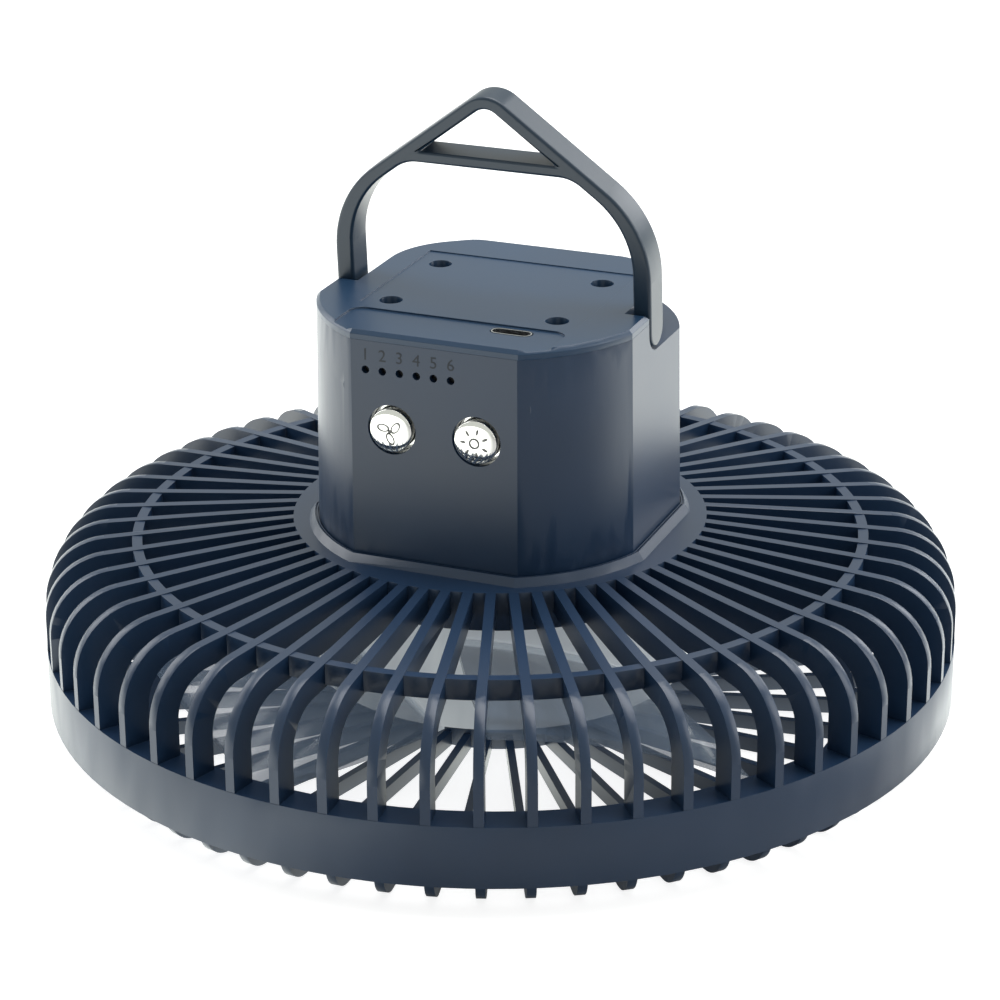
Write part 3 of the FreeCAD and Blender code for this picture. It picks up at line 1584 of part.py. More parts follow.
def grille_screws():
    screws = []
    for index in range(int(value("grille_screw_count"))):
        angle = f"{cell('grille_screw_phase')} + {index} * {FULL_TURN} / {cell('grille_screw_count')}"
        x, y = polar("grille_screw_ring", angle)
        screws.append(
            screw(
                f"grille_screw_{index + 1}", "grille_screw_head", "grille_screw_radius", "rim_low",
                "grille_screw_low", "grille_screw_top", x, y,
            )
        )
    return group("grille_screws", screws)


def lamp_board():
    body = new_body("lamp_board")
    plan = new_sketch(body, "lamp_board_plan", level="lamp_board_low")
    draw_circle(plan, "0", "0", "lamp_board_radius")
    draw_lamp_screw_circles(plan)
    extrude(body, plan, "lamp_disc", cell("lamp_board_thick"))
    return body


def lamp_leds():
    leds = []
    side = cell("led_side")
    for index in range(int(value("lamp_led_count"))):
        angle = f"{index} * {FULL_TURN} / {cell('lamp_led_count')}"
        x, y = polar("lamp_led_ring", angle)
        corner = (f"{x} - {side} / 2", f"{y} - {side} / 2", f"{cell('lamp_board_low')} - {cell('led_thick')}")
        leds.append(box(f"lamp_led_{index + 1}", (side, side, cell("led_thick")), corner))
    return group("lamp_leds", leds)


def lamp_screws():
    screws = []
    for index in range(int(value("lamp_screw_count"))):
        angle = f"{cell('lamp_screw_phase')} + {index} * {FULL_TURN} / {cell('lamp_screw_count')}"
        x, y = polar("lamp_screw_ring", angle)
        screws.append(
            screw(
                f"lamp_screw_{index + 1}", "lamp_screw_head", "lamp_screw_radius", "lamp_board_low",
                "lamp_screw_low", "lamp_screw_tip", x, y,
            )
        )
    return group("lamp_screws", screws)


def lamp_diffuser():
    """A frosted cap pushed into the lamp cup."""
    body = new_body("lamp_diffuser")
    half = new_sketch(body, "diffuser_section", "XZ_Plane")
    draw_chain(
        half,
        [
            ("0", "lamp_recess"),
            ("diffuser_out", "lamp_recess"),
            ("diffuser_out", "lamp_ceiling"),
            ("diffuser_in", "lamp_ceiling"),
            ("diffuser_in", "diffuser_floor"),
            ("0", "diffuser_floor"),
        ],
    )
    revolve(body, half, "diffuser")
    return body


def impeller_nut():
    """A hexagon nut on the end of the shaft."""
    prism = document.addObject("Part::Prism", "nut_hexagon")
    prism.Polygon = 6
    prism.setExpression("Circumradius", cell("nut_radius"))
    prism.setExpression("Height", cell("nut_high"))
    place_at(prism, z=cell("nut_low"))
    return subtract("impeller_nut", prism, cylinder("nut_bore", "shaft_radius", "shaft_low", "impeller_low"))


def build():
    fill_sheets()
    pieces = [
        rear_grille(),
        front_grille(),
        housing(),
        top_cover(),
        cover_screws(),
        grille_screws(),
        handle(),
        handle_washers(),
        handle_screws(),
        push_button("fan_button", "-button_x"),
        push_button("light_button", "button_x"),
        plunger("fan_plunger", "-button_x"),
        plunger("light_plunger", "button_x"),
        push_switch("fan_switch", "-button_x"),
        push_switch("light_switch", "button_x"),
        circuit_board(),
        board_screws(),
        indicator_lens(),
        indicator_leds(),
        usb_port(),
        usb_tongue(),
        battery_cells(),
        battery_brackets(),
        motor_case(),
        motor_back_plate(),
        motor_bearings(),
        motor_screws(),
        ring("stator", "case_inner", "stator_inner", "stator_low", "stator_top"),
        ring("rotor", "rotor_radius", "shaft_radius", "rotor_low", "rotor_top"),
        relabel(cylinder("motor_shaft", "shaft_radius", "shaft_low", "shaft_top"), "motor_shaft"),
        impeller(),
        impeller_nut(),
        lamp_board(),
        lamp_leds(),
        lamp_screws(),
        lamp_diffuser(),
    ]
    document.recompute()
    return pieces


def check(pieces):
    for item in document.Objects:
        if "Invalid" in item.State or "Error" in item.State:
            raise RuntimeError(f"{item.Label} is {item.State}")
    for piece in pieces:
        if piece.Shape.isNull() or not piece.Shape.isValid():
            raise RuntimeError(f"{piece.Label} has no valid shape")
        print(piece.Label, len(piece.Shape.Solids), round(piece.Shape.Volume, 1))


def export(pieces):
    os.makedirs("parts", exist_ok=True)
    for piece in pieces:
        piece.Shape.exportStep(f"parts/{piece.Label}.step")


parts = build()
check(parts)
export(parts)
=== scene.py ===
import math

import bpy
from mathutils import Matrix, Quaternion, Vector


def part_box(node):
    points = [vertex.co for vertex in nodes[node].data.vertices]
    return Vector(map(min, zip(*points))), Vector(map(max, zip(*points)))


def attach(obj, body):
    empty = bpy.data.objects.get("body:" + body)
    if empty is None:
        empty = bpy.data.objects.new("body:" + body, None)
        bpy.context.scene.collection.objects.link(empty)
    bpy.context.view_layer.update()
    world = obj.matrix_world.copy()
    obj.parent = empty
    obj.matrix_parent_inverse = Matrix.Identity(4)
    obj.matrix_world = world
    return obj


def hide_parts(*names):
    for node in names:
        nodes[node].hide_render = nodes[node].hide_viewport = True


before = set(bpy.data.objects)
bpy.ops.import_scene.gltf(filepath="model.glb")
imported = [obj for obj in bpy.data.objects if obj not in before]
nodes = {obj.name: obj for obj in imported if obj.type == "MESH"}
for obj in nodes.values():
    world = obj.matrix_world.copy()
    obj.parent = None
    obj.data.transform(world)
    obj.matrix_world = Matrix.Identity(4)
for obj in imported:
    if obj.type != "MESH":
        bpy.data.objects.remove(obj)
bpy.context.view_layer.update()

MM = 0.001
ORIGIN = (0.0, 0.0, 0.0)
UP = (0.0, 0.0, 1.0)
TURN_TO_FRONT = (math.radians(90.0), 0.0, 0.0)

# The photograph's camera, in the frame of the fan
CAMERA_PLACE = Vector((251.1, -606.2, 314.7)) * MM
CAMERA_AIM = Vector((0.0, 0.0, 47.8)) * MM
CAMERA_ROLL = math.radians(-0.383)
CAMERA_LENS = 116.48
CAMERA_SENSOR = 36.0
CAMERA_CLIP = (0.01, 100.0)

# Colours, as linear light
NAVY = (0.012, 0.032, 0.074)
NAVY_PALE = (0.010, 0.038, 0.088)
HANDLE_NAVY = (0.010, 0.027, 0.052)
CHROME = (0.86, 0.86, 0.84)
STEEL = (0.52, 0.53, 0.55)
BLACK = (0.006, 0.006, 0.007)
HUB_TINT = (0.64, 0.68, 0.70)
BLADE_TINT = (0.19, 0.27, 0.39)
PAINTED_LIGHT_TINT = (0.88, 0.94, 1.0)
WARM_TINT = (0.97, 1.0, 0.93)
WHITE = (1.0, 1.0, 1.0)

# How a surface varies: grain, flow marks and streaks per metre, relief, and spread of shade and roughness
GRAIN_SCALE = 3500.0
FLOW_SCALE = 38.0
RELIEF_DEPTH = 0.05 * MM
SHADE_SPREAD = (0.8, 1.2)
ROUGHNESS_SPREAD = (0.85, 1.15)
STREAK_SCALE = 900.0
PLASTIC_IOR = 1.5

# The impeller is pale and nearly opaque out to its hub's edge, and clear beyond it; the hub, and faintly
# the blades, are given a glow of painted light
HUB_EDGE = 42.5 * MM
HUB_ALPHA = 0.95
BLADE_ALPHA = 0.5
HUB_PAINTED_LIGHT = 0.2
BLADE_PAINTED_LIGHT = 0.015


# Shader helpers


def new_material(name):
    """A material, its node tree and shader, and the coordinates of the object that wears it."""
    material = bpy.data.materials.new(name)
    material.use_nodes = True
    tree = material.node_tree
    shader = tree.nodes["Principled BSDF"]
    coordinates = tree.nodes.new("ShaderNodeTexCoord")
    return material, tree, shader, coordinates.outputs["Object"]


def noise(tree, coordinates, scale, detail=2.0):
    """The value of a noise texture whose scale is in marks per metre."""
    texture = tree.nodes.new("ShaderNodeTexNoise")
    texture.inputs["Scale"].default_value = scale
    texture.inputs["Detail"].default_value = detail
    tree.links.new(coordinates, texture.inputs["Vector"])
    return texture.outputs["Fac"]


def remap(tree, value, low, high, from_low=0.0, from_high=1.0):
    """A value moved from one range onto another."""
    node = tree.nodes.new("ShaderNodeMapRange")
    node.inputs["From Min"].default_value = from_low
    node.inputs["From Max"].default_value = from_high
    node.inputs["To Min"].default_value = low
    node.inputs["To Max"].default_value = high
    tree.links.new(value, node.inputs["Value"])
    return node.outputs["Result"]


def mix_colours(tree, factor, first, second):
    """The first colour where a factor is 0 and the second where it is 1; each is a tuple or a socket."""
    node = tree.nodes.new("ShaderNodeMix")
    node.data_type = "RGBA"
    tree.links.new(factor, node.inputs["Factor"])
    for socket, colour in zip((node.inputs[6], node.inputs[7]), (first, second)):
        if isinstance(colour, tuple):
            socket.default_value = (*colour, 1.0)
        else:
            tree.links.new(colour, socket)
    return node.outputs[2]


def scaled(colour, factor):
    """A colour made darker or paler by a factor."""
    return tuple(part * factor for part in colour)


def make_moulded_surface():
    """Spark-eroded grain, faint flow marks and the slight unevenness of a moulded face."""
    group = bpy.data.node_groups.new("moulded_surface", "ShaderNodeTree")
    for name, kind, default in (
        ("Vector", "NodeSocketVector", None),
        ("Grain Size", "NodeSocketFloat", GRAIN_SCALE),
        ("Colour", "NodeSocketColor", (0.02, 0.03, 0.05, 1.0)),
        ("Roughness", "NodeSocketFloat", 0.3),
    ):
        socket = group.interface.new_socket(name, in_out="INPUT", socket_type=kind)
        if default is not None:
            socket.default_value = default
    for name, kind in (
        ("Colour", "NodeSocketColor"),
        ("Roughness", "NodeSocketFloat"),
        ("Height", "NodeSocketFloat"),
    ):
        group.interface.new_socket(name, in_out="OUTPUT", socket_type=kind)
    into = group.nodes.new("NodeGroupInput")
    out = group.nodes.new("NodeGroupOutput")
    grain = group.nodes.new("ShaderNodeTexNoise")
    grain.inputs["Detail"].default_value = 2.0
    group.links.new(into.outputs["Vector"], grain.inputs["Vector"])
    group.links.new(into.outputs["Grain Size"], grain.inputs["Scale"])
    cloud = noise(group, into.outputs["Vector"], FLOW_SCALE, 3.0)
    shade = group.nodes.new("ShaderNodeHueSaturation")
    group.links.new(into.outputs["Colour"], shade.inputs["Color"])
    group.links.new(remap(group, cloud, *SHADE_SPREAD), shade.inputs["Value"])
    group.links.new(shade.outputs["Color"], out.inputs["Colour"])
    rough = group.nodes.new("ShaderNodeMath")
    rough.operation = "MULTIPLY"
    group.links.new(into.outputs["Roughness"], rough.inputs[0])
    group.links.new(remap(group, cloud, *ROUGHNESS_SPREAD), rough.inputs[1])
    group.links.new(rough.outputs[0], out.inputs["Roughness"])
    group.links.new(grain.outputs["Fac"], out.inputs["Height"])
    return group


MOULDED_SURFACE = make_moulded_surface()


def moulded_plastic(name, colour, roughness, grain=GRAIN_SCALE, bump=0.12, gloss=0.5):
    material, tree, shader, place = new_material(name)
    surface = tree.nodes.new("ShaderNodeGroup")
    surface.node_tree = MOULDED_SURFACE
    surface.inputs["Grain Size"].default_value = grain
    surface.inputs["Colour"].default_value = (*colour, 1.0)
    surface.inputs["Roughness"].default_value = roughness
    tree.links.new(place, surface.inputs["Vector"])
    tree.links.new(surface.outputs["Colour"], shader.inputs["Base Color"])
    tree.links.new(surface.outputs["Roughness"], shader.inputs["Roughness"])
    relief = tree.nodes.new("ShaderNodeBump")
    relief.inputs["Strength"].default_value = bump
    relief.inputs["Distance"].default_value = RELIEF_DEPTH
    tree.links.new(surface.outputs["Height"], relief.inputs["Height"])
    tree.links.new(relief.outputs["Normal"], shader.inputs["Normal"])
    shader.inputs["IOR"].default_value = PLASTIC_IOR
    shader.inputs["Specular IOR Level"].default_value = gloss
    return material


def metal(name, colour, roughness):
    """Bare or plated metal with fine uneven streaks."""
    material, tree, shader, place = new_material(name)
    shader.inputs["Metallic"].default_value = 1.0
    streaks = noise(tree, place, STREAK_SCALE)
    tree.links.new(mix_colours(tree, streaks, scaled(colour, 0.93), colour), shader.inputs["Base Color"])
    tree.links.new(remap(tree, streaks, roughness * 0.8, roughness * 1.25), shader.inputs["Roughness"])
    return material


def impeller_plastic(name, roughness):
    """Pale tinted plastic, nearly opaque at the thick hub and clear in the thin blades, with a glow of
    painted light that is strong on the hub and faint on the blades.
    """
    material, tree, shader, place = new_material(name)
    parts = tree.nodes.new("ShaderNodeSeparateXYZ")
    tree.links.new(place, parts.inputs[0])
    flat = tree.nodes.new("ShaderNodeCombineXYZ")
    tree.links.new(parts.outputs["X"], flat.inputs["X"])
    tree.links.new(parts.outputs["Y"], flat.inputs["Y"])
    radius = tree.nodes.new("ShaderNodeVectorMath")
    radius.operation = "LENGTH"
    tree.links.new(flat.outputs[0], radius.inputs[0])
    outside = remap(tree, radius.outputs["Value"], 0.0, 1.0, HUB_EDGE, HUB_EDGE + MM)
    flow = noise(tree, place, 45.0, 3.0)
    streaked = mix_colours(tree, flow, scaled(BLADE_TINT, 0.75), scaled(BLADE_TINT, 1.2))
    tree.links.new(mix_colours(tree, outside, HUB_TINT, streaked), shader.inputs["Base Color"])
    tree.links.new(remap(tree, flow, roughness * 0.7, roughness * 1.3), shader.inputs["Roughness"])
    tree.links.new(remap(tree, outside, HUB_ALPHA, BLADE_ALPHA), shader.inputs["Alpha"])
    # Painted light: emission that brightens the hub, and faintly the blades, as if they were lit through
    # the plastic
    shader.inputs["Emission Color"].default_value = (*PAINTED_LIGHT_TINT, 1.0)
    tree.links.new(remap(tree, outside, HUB_PAINTED_LIGHT, BLADE_PAINTED_LIGHT), shader.inputs["Emission Strength"])
    return material


def tinted_clear(name, colour, roughness, alpha):
    """Thin tinted plastic that light passes through."""
    material, tree, shader, place = new_material(name)
    haze = noise(tree, place, 60.0, 3.0)
    tree.links.new(mix_colours(tree, haze, scaled(colour, 0.8), colour), shader.inputs["Base Color"])
    tree.links.new(remap(tree, haze, roughness * 0.8, roughness * 1.3), shader.inputs["Roughness"])
    tree.links.new(remap(tree, haze, alpha * 0.95, min(1.0, alpha * 1.05)), shader.inputs["Alpha"])
    return material


# Materials

body_plastic = moulded_plastic("body_plastic", NAVY, 0.325)
cover_plastic = moulded_plastic("cover_plastic", NAVY_PALE, 0.34)
handle_plastic = moulded_plastic("handle_plastic", HANDLE_NAVY, 0.33)
black_plastic = moulded_plastic("black_plastic", BLACK, 0.4)
white_plastic = moulded_plastic("white_plastic", (0.6, 0.6, 0.58), 0.35)
bracket_plastic = moulded_plastic("bracket_plastic", (0.012, 0.012, 0.014), 0.45)
board_mask = moulded_plastic("board_mask", (0.012, 0.085, 0.035), 0.3, grain=600.0, bump=0.05)
cell_wrap = moulded_plastic("cell_wrap", (0.03, 0.16, 0.30), 0.25, grain=500.0, bump=0.05)
winding = moulded_plastic("winding", (0.42, 0.13, 0.04), 0.3, grain=1500.0, bump=0.5)
magnet = moulded_plastic("magnet", (0.03, 0.03, 0.034), 0.5)
diffuser = tinted_clear("diffuser_white", (0.82, 0.83, 0.8), 0.35, 0.96)
impeller_tint = impeller_plastic("impeller_tint", 0.14)
lens_clear = tinted_clear("lens_clear", (0.004, 0.004, 0.005), 0.25, 0.98)
number_relief = moulded_plastic("number_relief", (0.008, 0.014, 0.026), 0.4, gloss=0.32)
# The raised signs are dark metal: painted shade standing in for the dark reflections along their relief
# edges on the chrome
painted_shade_sign_metal = metal("painted_shade_sign_metal", (0.16, 0.16, 0.16), 0.3)
led_clear = tinted_clear("led_clear", (0.8, 0.75, 0.45), 0.2, 0.95)
chrome = metal("button_chrome", CHROME, 0.07)
port_metal = metal("port_metal", STEEL, 0.22)
screw_steel = metal("screw_steel", (0.35, 0.36, 0.38), 0.3)
motor_steel = metal("motor_steel", (0.4, 0.41, 0.42), 0.32)
bronze = metal("bearing_bronze", (0.45, 0.28, 0.1), 0.4)

# The finish of every node

FINISHES = {
    "rear_grille": body_plastic,
    "front_grille": body_plastic,
    "housing": body_plastic,
    "top_cover": cover_plastic,
    "handle": handle_plastic,
    "cover_screws": screw_steel,
    "grille_screws": screw_steel,
    "handle_screws": screw_steel,
    "handle_washers": screw_steel,
    "fan_button": chrome,
    "light_button": chrome,
    "fan_plunger": black_plastic,
    "light_plunger": black_plastic,
    "fan_switch": black_plastic,
    "light_switch": black_plastic,
    "circuit_board": board_mask,
    "board_screws": screw_steel,
    "indicator_lens": lens_clear,
    "indicator_leds": led_clear,
    "usb_port": port_metal,
    "usb_tongue": black_plastic,
    "battery_cells": cell_wrap,
    "battery_brackets": bracket_plastic,
    "motor_case": motor_steel,
    "motor_back_plate": motor_steel,
    "motor_bearings": bronze,
    "motor_screws": screw_steel,
    "stator": winding,
    "rotor": magnet,
    "motor_shaft": motor_steel,
    "impeller": impeller_tint,
    "impeller_nut": screw_steel,
    "lamp_board": white_plastic,
    "lamp_leds": led_clear,
    "lamp_screws": screw_steel,
    "lamp_diffuser": diffuser,
}

for node_name, finish in FINISHES.items():
    node = nodes[node_name]
    node.data.materials.clear()
    node.data.materials.append(finish)


# Softened edges on the mouldings: the radius in millimetres, and whether flat facets are merged first

SOFTENED = (
    ("rear_grille", 0.16, False),
    ("front_grille", 0.16, False),
    ("housing", 0.3, True),
    ("top_cover", 0.15, True),
    ("handle", 0.6, True),
)
WELD_REACH = 0.002 * MM
FLAT_ANGLE = math.radians(0.8)
SHARP_ANGLE = math.radians(32.0)


def soften(node_name, width, flatten):
    """A moulded radius along every sharp edge of a node."""
    node = nodes[node_name]
    weld = node.modifiers.new("merge", "WELD")
    weld.merge_threshold = WELD_REACH
    if flatten:
        flat = node.modifiers.new("flat_faces", "DECIMATE")
        flat.decimate_type = "DISSOLVE"
        flat.angle_limit = FLAT_ANGLE
    bevel = node.modifiers.new("radius", "BEVEL")
    bevel.width = width * MM
    bevel.segments = 2
    bevel.limit_method = "ANGLE"
    bevel.angle_limit = SHARP_ANGLE
    bevel.use_clamp_overlap = True
    bevel.harden_normals = True


# Modelling helpers


def clear_selection():
    bpy.ops.object.select_all(action="DESELECT")


def pick(piece):
    """Select one piece alone and make it the active one."""
    clear_selection()
    piece.select_set(True)
    bpy.context.view_layer.objects.active = piece


def keep_place(piece):
    """Bake the object's own place, turn and scale into its mesh."""
    pick(piece)
    bpy.ops.object.transform_apply(location=True, rotation=True, scale=True)


def join_pieces(pieces, name):
    """One named piece made of several."""
    clear_selection()
    for piece in pieces:
        piece.select_set(True)
    bpy.context.view_layer.objects.active = pieces[0]
    bpy.ops.object.join()
    joined = bpy.context.object
    joined.name = name
    joined.data.name = name
    return joined


def smooth(piece, degrees=50.0):
    """Smooth shading, but for edges sharper than an angle."""
    pick(piece)
    bpy.ops.object.shade_smooth_by_angle(angle=math.radians(degrees))


def dress(piece, material, body):
    """Give a piece its material, and let it ride with a body."""
    piece.data.materials.clear()
    piece.data.materials.append(material)
    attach(piece, body)


# The faces of the two buttons and the raised signs on them, in millimetres and degrees

BUTTON_RADIUS = 4.7
BUTTON_DEPTH = 0.7
BUTTON_PROUD = 0.02
BUTTON_RIM = 0.9

SUN_RADIUS = 1.0
SUN_WIRE = 0.2
RAY_COUNT = 7
RAY_FIRST = 76.0
RAY_REACH = 2.55
RAY_SIZE = (1.3, 0.56, 0.16)

BOSS_SIZE = (0.8, 0.8, 0.2)
LOOP_COUNT = 3
LOOP_FIRST = 35.0
LOOP_REACH = 1.6
LOOP_RADII = (1.25, 0.72)
LOOP_WIRE = 0.17

# How far each loop is turned off its own radius, in radians
LOOP_TURN = 0.35


def dome_place(node_name, across, up):
    """The place, in metres, and the outward normal on a button's face, from millimetres off its centre."""
    low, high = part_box(node_name)
    middle_x = (low[0] + high[0]) / 2
    middle_z = (low[2] + high[2]) / 2
    rise = math.sqrt(1.0 - (across ** 2 + up ** 2) / BUTTON_RADIUS ** 2)
    depth = BUTTON_DEPTH * (1.0 - rise) - BUTTON_PROUD
    place = Vector((middle_x + across * MM, low[1] + depth * MM, middle_z + up * MM))
    normal = Vector(
        (across / BUTTON_RADIUS ** 2, -rise / BUTTON_DEPTH, up / BUTTON_RADIUS ** 2)
    ).normalized()
    return place, normal


def make_button_face(node_name):
    """The plated cap of a button: a flattened dome on a short rim."""
    place = dome_place(node_name, 0.0, 0.0)[0]
    middle = place + Vector((0.0, BUTTON_DEPTH * MM, 0.0))
    clear_selection()
    bpy.ops.mesh.primitive_uv_sphere_add(segments=64, ring_count=32, radius=MM, location=middle)
    dome = bpy.context.object
    dome.scale = (BUTTON_RADIUS, BUTTON_RADIUS, BUTTON_DEPTH)
    dome.rotation_euler = TURN_TO_FRONT
    keep_place(dome)
    clear_selection()
    bpy.ops.mesh.primitive_cylinder_add(
        vertices=64,
        radius=BUTTON_RADIUS * MM,
        depth=BUTTON_RIM * MM,
        location=middle + Vector((0.0, BUTTON_RIM / 2 * MM, 0.0)),
    )
    rim = bpy.context.object
    rim.rotation_euler = TURN_TO_FRONT
    keep_place(rim)
    face = join_pieces([dome, rim], node_name + "_face")
    smooth(face, 30.0)
    dress(face, chrome, node_name)


def settle(piece, place, normal, turn):
    """Stand a piece drawn in the XY plane on a surface, turned about the surface's normal."""
    piece.rotation_mode = "QUATERNION"
    facing = normal.to_track_quat("Z", "Y")
    piece.rotation_quaternion = facing @ Quaternion(UP, turn)
    piece.location = place
    keep_place(piece)


def oval_ring(place, normal, turn, long_radius, short_radius, wire):
    """An oval loop of wire that lies on a surface."""
    clear_selection()
    bpy.ops.mesh.primitive_torus_add(
        major_radius=MM, minor_radius=wire * MM, major_segments=40, minor_segments=10, location=ORIGIN
    )
    piece = bpy.context.object
    piece.scale = (long_radius, short_radius, 1.0)
    keep_place(piece)
    settle(piece, place, normal, turn)
    return piece


def pad(place, normal, turn, length, width, height):
    """A rounded pad that lies on a surface."""
    clear_selection()
    bpy.ops.mesh.primitive_uv_sphere_add(segments=20, ring_count=10, radius=MM, location=ORIGIN)
    piece = bpy.context.object
    piece.scale = (length / 2, width / 2, height)
    keep_place(piece)
    settle(piece, place, normal, turn)
    return piece


def round_dome(node_name, count, first, reach):
    """The angle, place and normal of each thing in a ring on a button's face."""
    for index in range(count):
        angle = math.radians(first + index * 360.0 / count)
        place, normal = dome_place(node_name, reach * math.cos(angle), reach * math.sin(angle))
        yield angle, place, normal


def make_light_sign():
    """A ring with seven rays."""
    place, normal = dome_place("light_button", 0.0, 0.0)
    pieces = [oval_ring(place, normal, 0.0, SUN_RADIUS, SUN_RADIUS, SUN_WIRE)]
    for angle, place, normal in round_dome("light_button", RAY_COUNT, RAY_FIRST, RAY_REACH):
        pieces.append(pad(place, normal, angle, *RAY_SIZE))
    sign = join_pieces(pieces, "light_button_sign")
    smooth(sign)
    # The sign's dark metal is painted shade
    dress(sign, painted_shade_sign_metal, "light_button")


def make_fan_sign():
    """Three rounded blades round a small boss."""
    place, normal = dome_place("fan_button", 0.0, 0.0)
    pieces = [pad(place, normal, 0.0, *BOSS_SIZE)]
    for angle, place, normal in round_dome("fan_button", LOOP_COUNT, LOOP_FIRST, LOOP_REACH):
        pieces.append(oval_ring(place, normal, angle + LOOP_TURN, *LOOP_RADII, LOOP_WIRE))
    sign = join_pieces(pieces, "fan_button_sign")
    smooth(sign)
    # The sign's dark metal is painted shade
    dress(sign, painted_shade_sign_metal, "fan_button")


# Numbers over the indicator holes, in millimetres

LIGHT_COUNT = 6
LIGHT_FIRST = -15.3
LIGHT_PITCH = 3.83
NUMBER_FACE = 35.24
NUMBER_FOOT = 90.15
NUMBER_SIZE = 3.6
NUMBER_PROUD = 0.04


def make_numbers():
    """Plain raised figures from 1 up, one over each hole."""
    pieces = []
    for index in range(LIGHT_COUNT):
        clear_selection()
        bpy.ops.object.text_add(location=ORIGIN)
        figure = bpy.context.object
        figure.data.body = str(index + 1)
        figure.data.align_x = "CENTER"
        figure.data.size = NUMBER_SIZE * MM
        figure.data.extrude = NUMBER_PROUD * MM
        figure.data.resolution_u = 4
        pick(figure)
        bpy.ops.object.convert(target="MESH")
        figure = bpy.context.object
        figure.rotation_euler = TURN_TO_FRONT
        across = LIGHT_FIRST + index * LIGHT_PITCH
        figure.location = (across * MM, -NUMBER_FACE * MM, NUMBER_FOOT * MM)
        keep_place(figure)
        pieces.append(figure)
    numbers = join_pieces(pieces, "indicator_numbers")
    dress(numbers, number_relief, "base")


# Screws with cross recesses, in millimetres and degrees

GRILLE_SCREW_COUNT = 4
GRILLE_SCREW_FIRST = 5.0
GRILLE_SCREW_REACH = 95.2
GRILLE_SCREW_SEAT = 9.0

COVER_SCREW_HEAD = 2.2
COVER_SCREW_X = 18.9
COVER_SCREW_Y = (-14.0, 12.5)

HEAD_EDGE = 0.18

# How wide each bar of a cross is, as a share of the cross's reach
BAR_SHARE = 0.42


def cross_screw(head_radius, head_high, shank_radius, shank_long, recess):
    """An upright screw whose head faces -Z, with its seat at z 0 and its shank above."""
    clear_selection()
    bpy.ops.mesh.primitive_cylinder_add(
        vertices=40,
        radius=head_radius * MM,
        depth=head_high * MM,
        location=(0.0, 0.0, -head_high * MM / 2),
    )
    head = bpy.context.object
    tools = []
    for turn in (0.0, 90.0):
        clear_selection()
        bpy.ops.mesh.primitive_cube_add(size=1.0, location=(0.0, 0.0, -head_high * MM))
        bar = bpy.context.object
        bar.scale = (recess * 2 * MM, recess * BAR_SHARE * MM, head_high * 1.1 * MM)
        bar.rotation_euler = (0.0, 0.0, math.radians(turn))
        keep_place(bar)
        tools.append(bar)
    for tool in tools:
        cut = head.modifiers.new("recess", "BOOLEAN")
        cut.operation = "DIFFERENCE"
        cut.solver = "EXACT"
        cut.object = tool
        pick(head)
        bpy.ops.object.modifier_apply(modifier=cut.name)
        bpy.data.objects.remove(tool)
    ease = head.modifiers.new("edge", "BEVEL")
    ease.width = HEAD_EDGE * MM
    ease.segments = 2
    ease.limit_method = "ANGLE"
    ease.angle_limit = math.radians(50.0)
    pick(head)
    bpy.ops.object.modifier_apply(modifier=ease.name)
    clear_selection()
    bpy.ops.mesh.primitive_cylinder_add(
        vertices=24,
        radius=shank_radius * MM,
        depth=shank_long * MM,
        location=(0.0, 0.0, shank_long * MM / 2),
    )
    return join_pieces([head, bpy.context.object], "screw")


def copies_at(model, spots, flip=False):
    """Copies of a model, each with its own mesh, at places in metres."""
    pieces = []
    for spot in spots:
        piece = model.copy()
        piece.data = model.data.copy()
        bpy.context.scene.collection.objects.link(piece)
        piece.location = spot
        if flip:
            piece.rotation_euler = (math.radians(180.0), 0.0, 0.0)
        keep_place(piece)
        pieces.append(piece)
    bpy.data.objects.remove(model)
    return pieces


def make_grille_screws():
    """The four screws under the band, heads down."""
    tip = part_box("grille_screws")[1][2]
    seat = GRILLE_SCREW_SEAT * MM
    reach = GRILLE_SCREW_REACH * MM
    spots = []
    for index in range(GRILLE_SCREW_COUNT):
        angle = math.radians(GRILLE_SCREW_FIRST + index * 360.0 / GRILLE_SCREW_COUNT)
        spots.append((reach * math.cos(angle), reach * math.sin(angle), seat))
    model = cross_screw(
        head_radius=1.8,
        head_high=1.3,
        shank_radius=1.0,
        shank_long=(tip - seat) / MM,
        recess=1.05,
    )
    screws = join_pieces(copies_at(model, spots), "grille_screws_crossed")
    smooth(screws, 35.0)
    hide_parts("grille_screws")
    dress(screws, screw_steel, "base")


def make_cover_screws():
    """The four screws down the top cover's holes, heads up."""
    low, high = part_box("cover_screws")
    seat = high[2] - COVER_SCREW_HEAD * MM
    model = cross_screw(
        head_radius=2.3,
        head_high=COVER_SCREW_HEAD,
        shank_radius=1.3,
        shank_long=(seat - low[2]) / MM,
        recess=1.4,
    )
    spots = [(x * MM, y * MM, seat) for x in (-COVER_SCREW_X, COVER_SCREW_X) for y in COVER_SCREW_Y]
    screws = join_pieces(copies_at(model, spots, flip=True), "cover_screws_crossed")
    smooth(screws, 35.0)
    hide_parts("cover_screws")
    dress(screws, screw_steel, "base")


for node_name, radius, flatten in SOFTENED:
    soften(node_name, radius, flatten)

make_button_face("fan_button")
make_button_face("light_button")
make_light_sign()
make_fan_sign()
make_numbers()
make_grille_screws()
make_cover_screws()


# Stage, in metres and watts

LAMPS = (
    ("left_box", (-1.1, 0.1, 0.7), 1.0, 1.0, 9.0),
    ("top_box", (0.1, 0.5, 1.5), 1.4, 1.2, 21.0),
    ("back_right_box", (0.55, 1.2, 0.62), 0.6, 0.7, 5.0),
    ("right_box", (1.2, 0.3, 0.6), 0.9, 0.9, 7.0),
)
LAMP_AIM = Vector((0.0, 0.0, 0.05))

FLOOR_SIZE = 8.0
FLOOR_DROP = 0.2 * MM

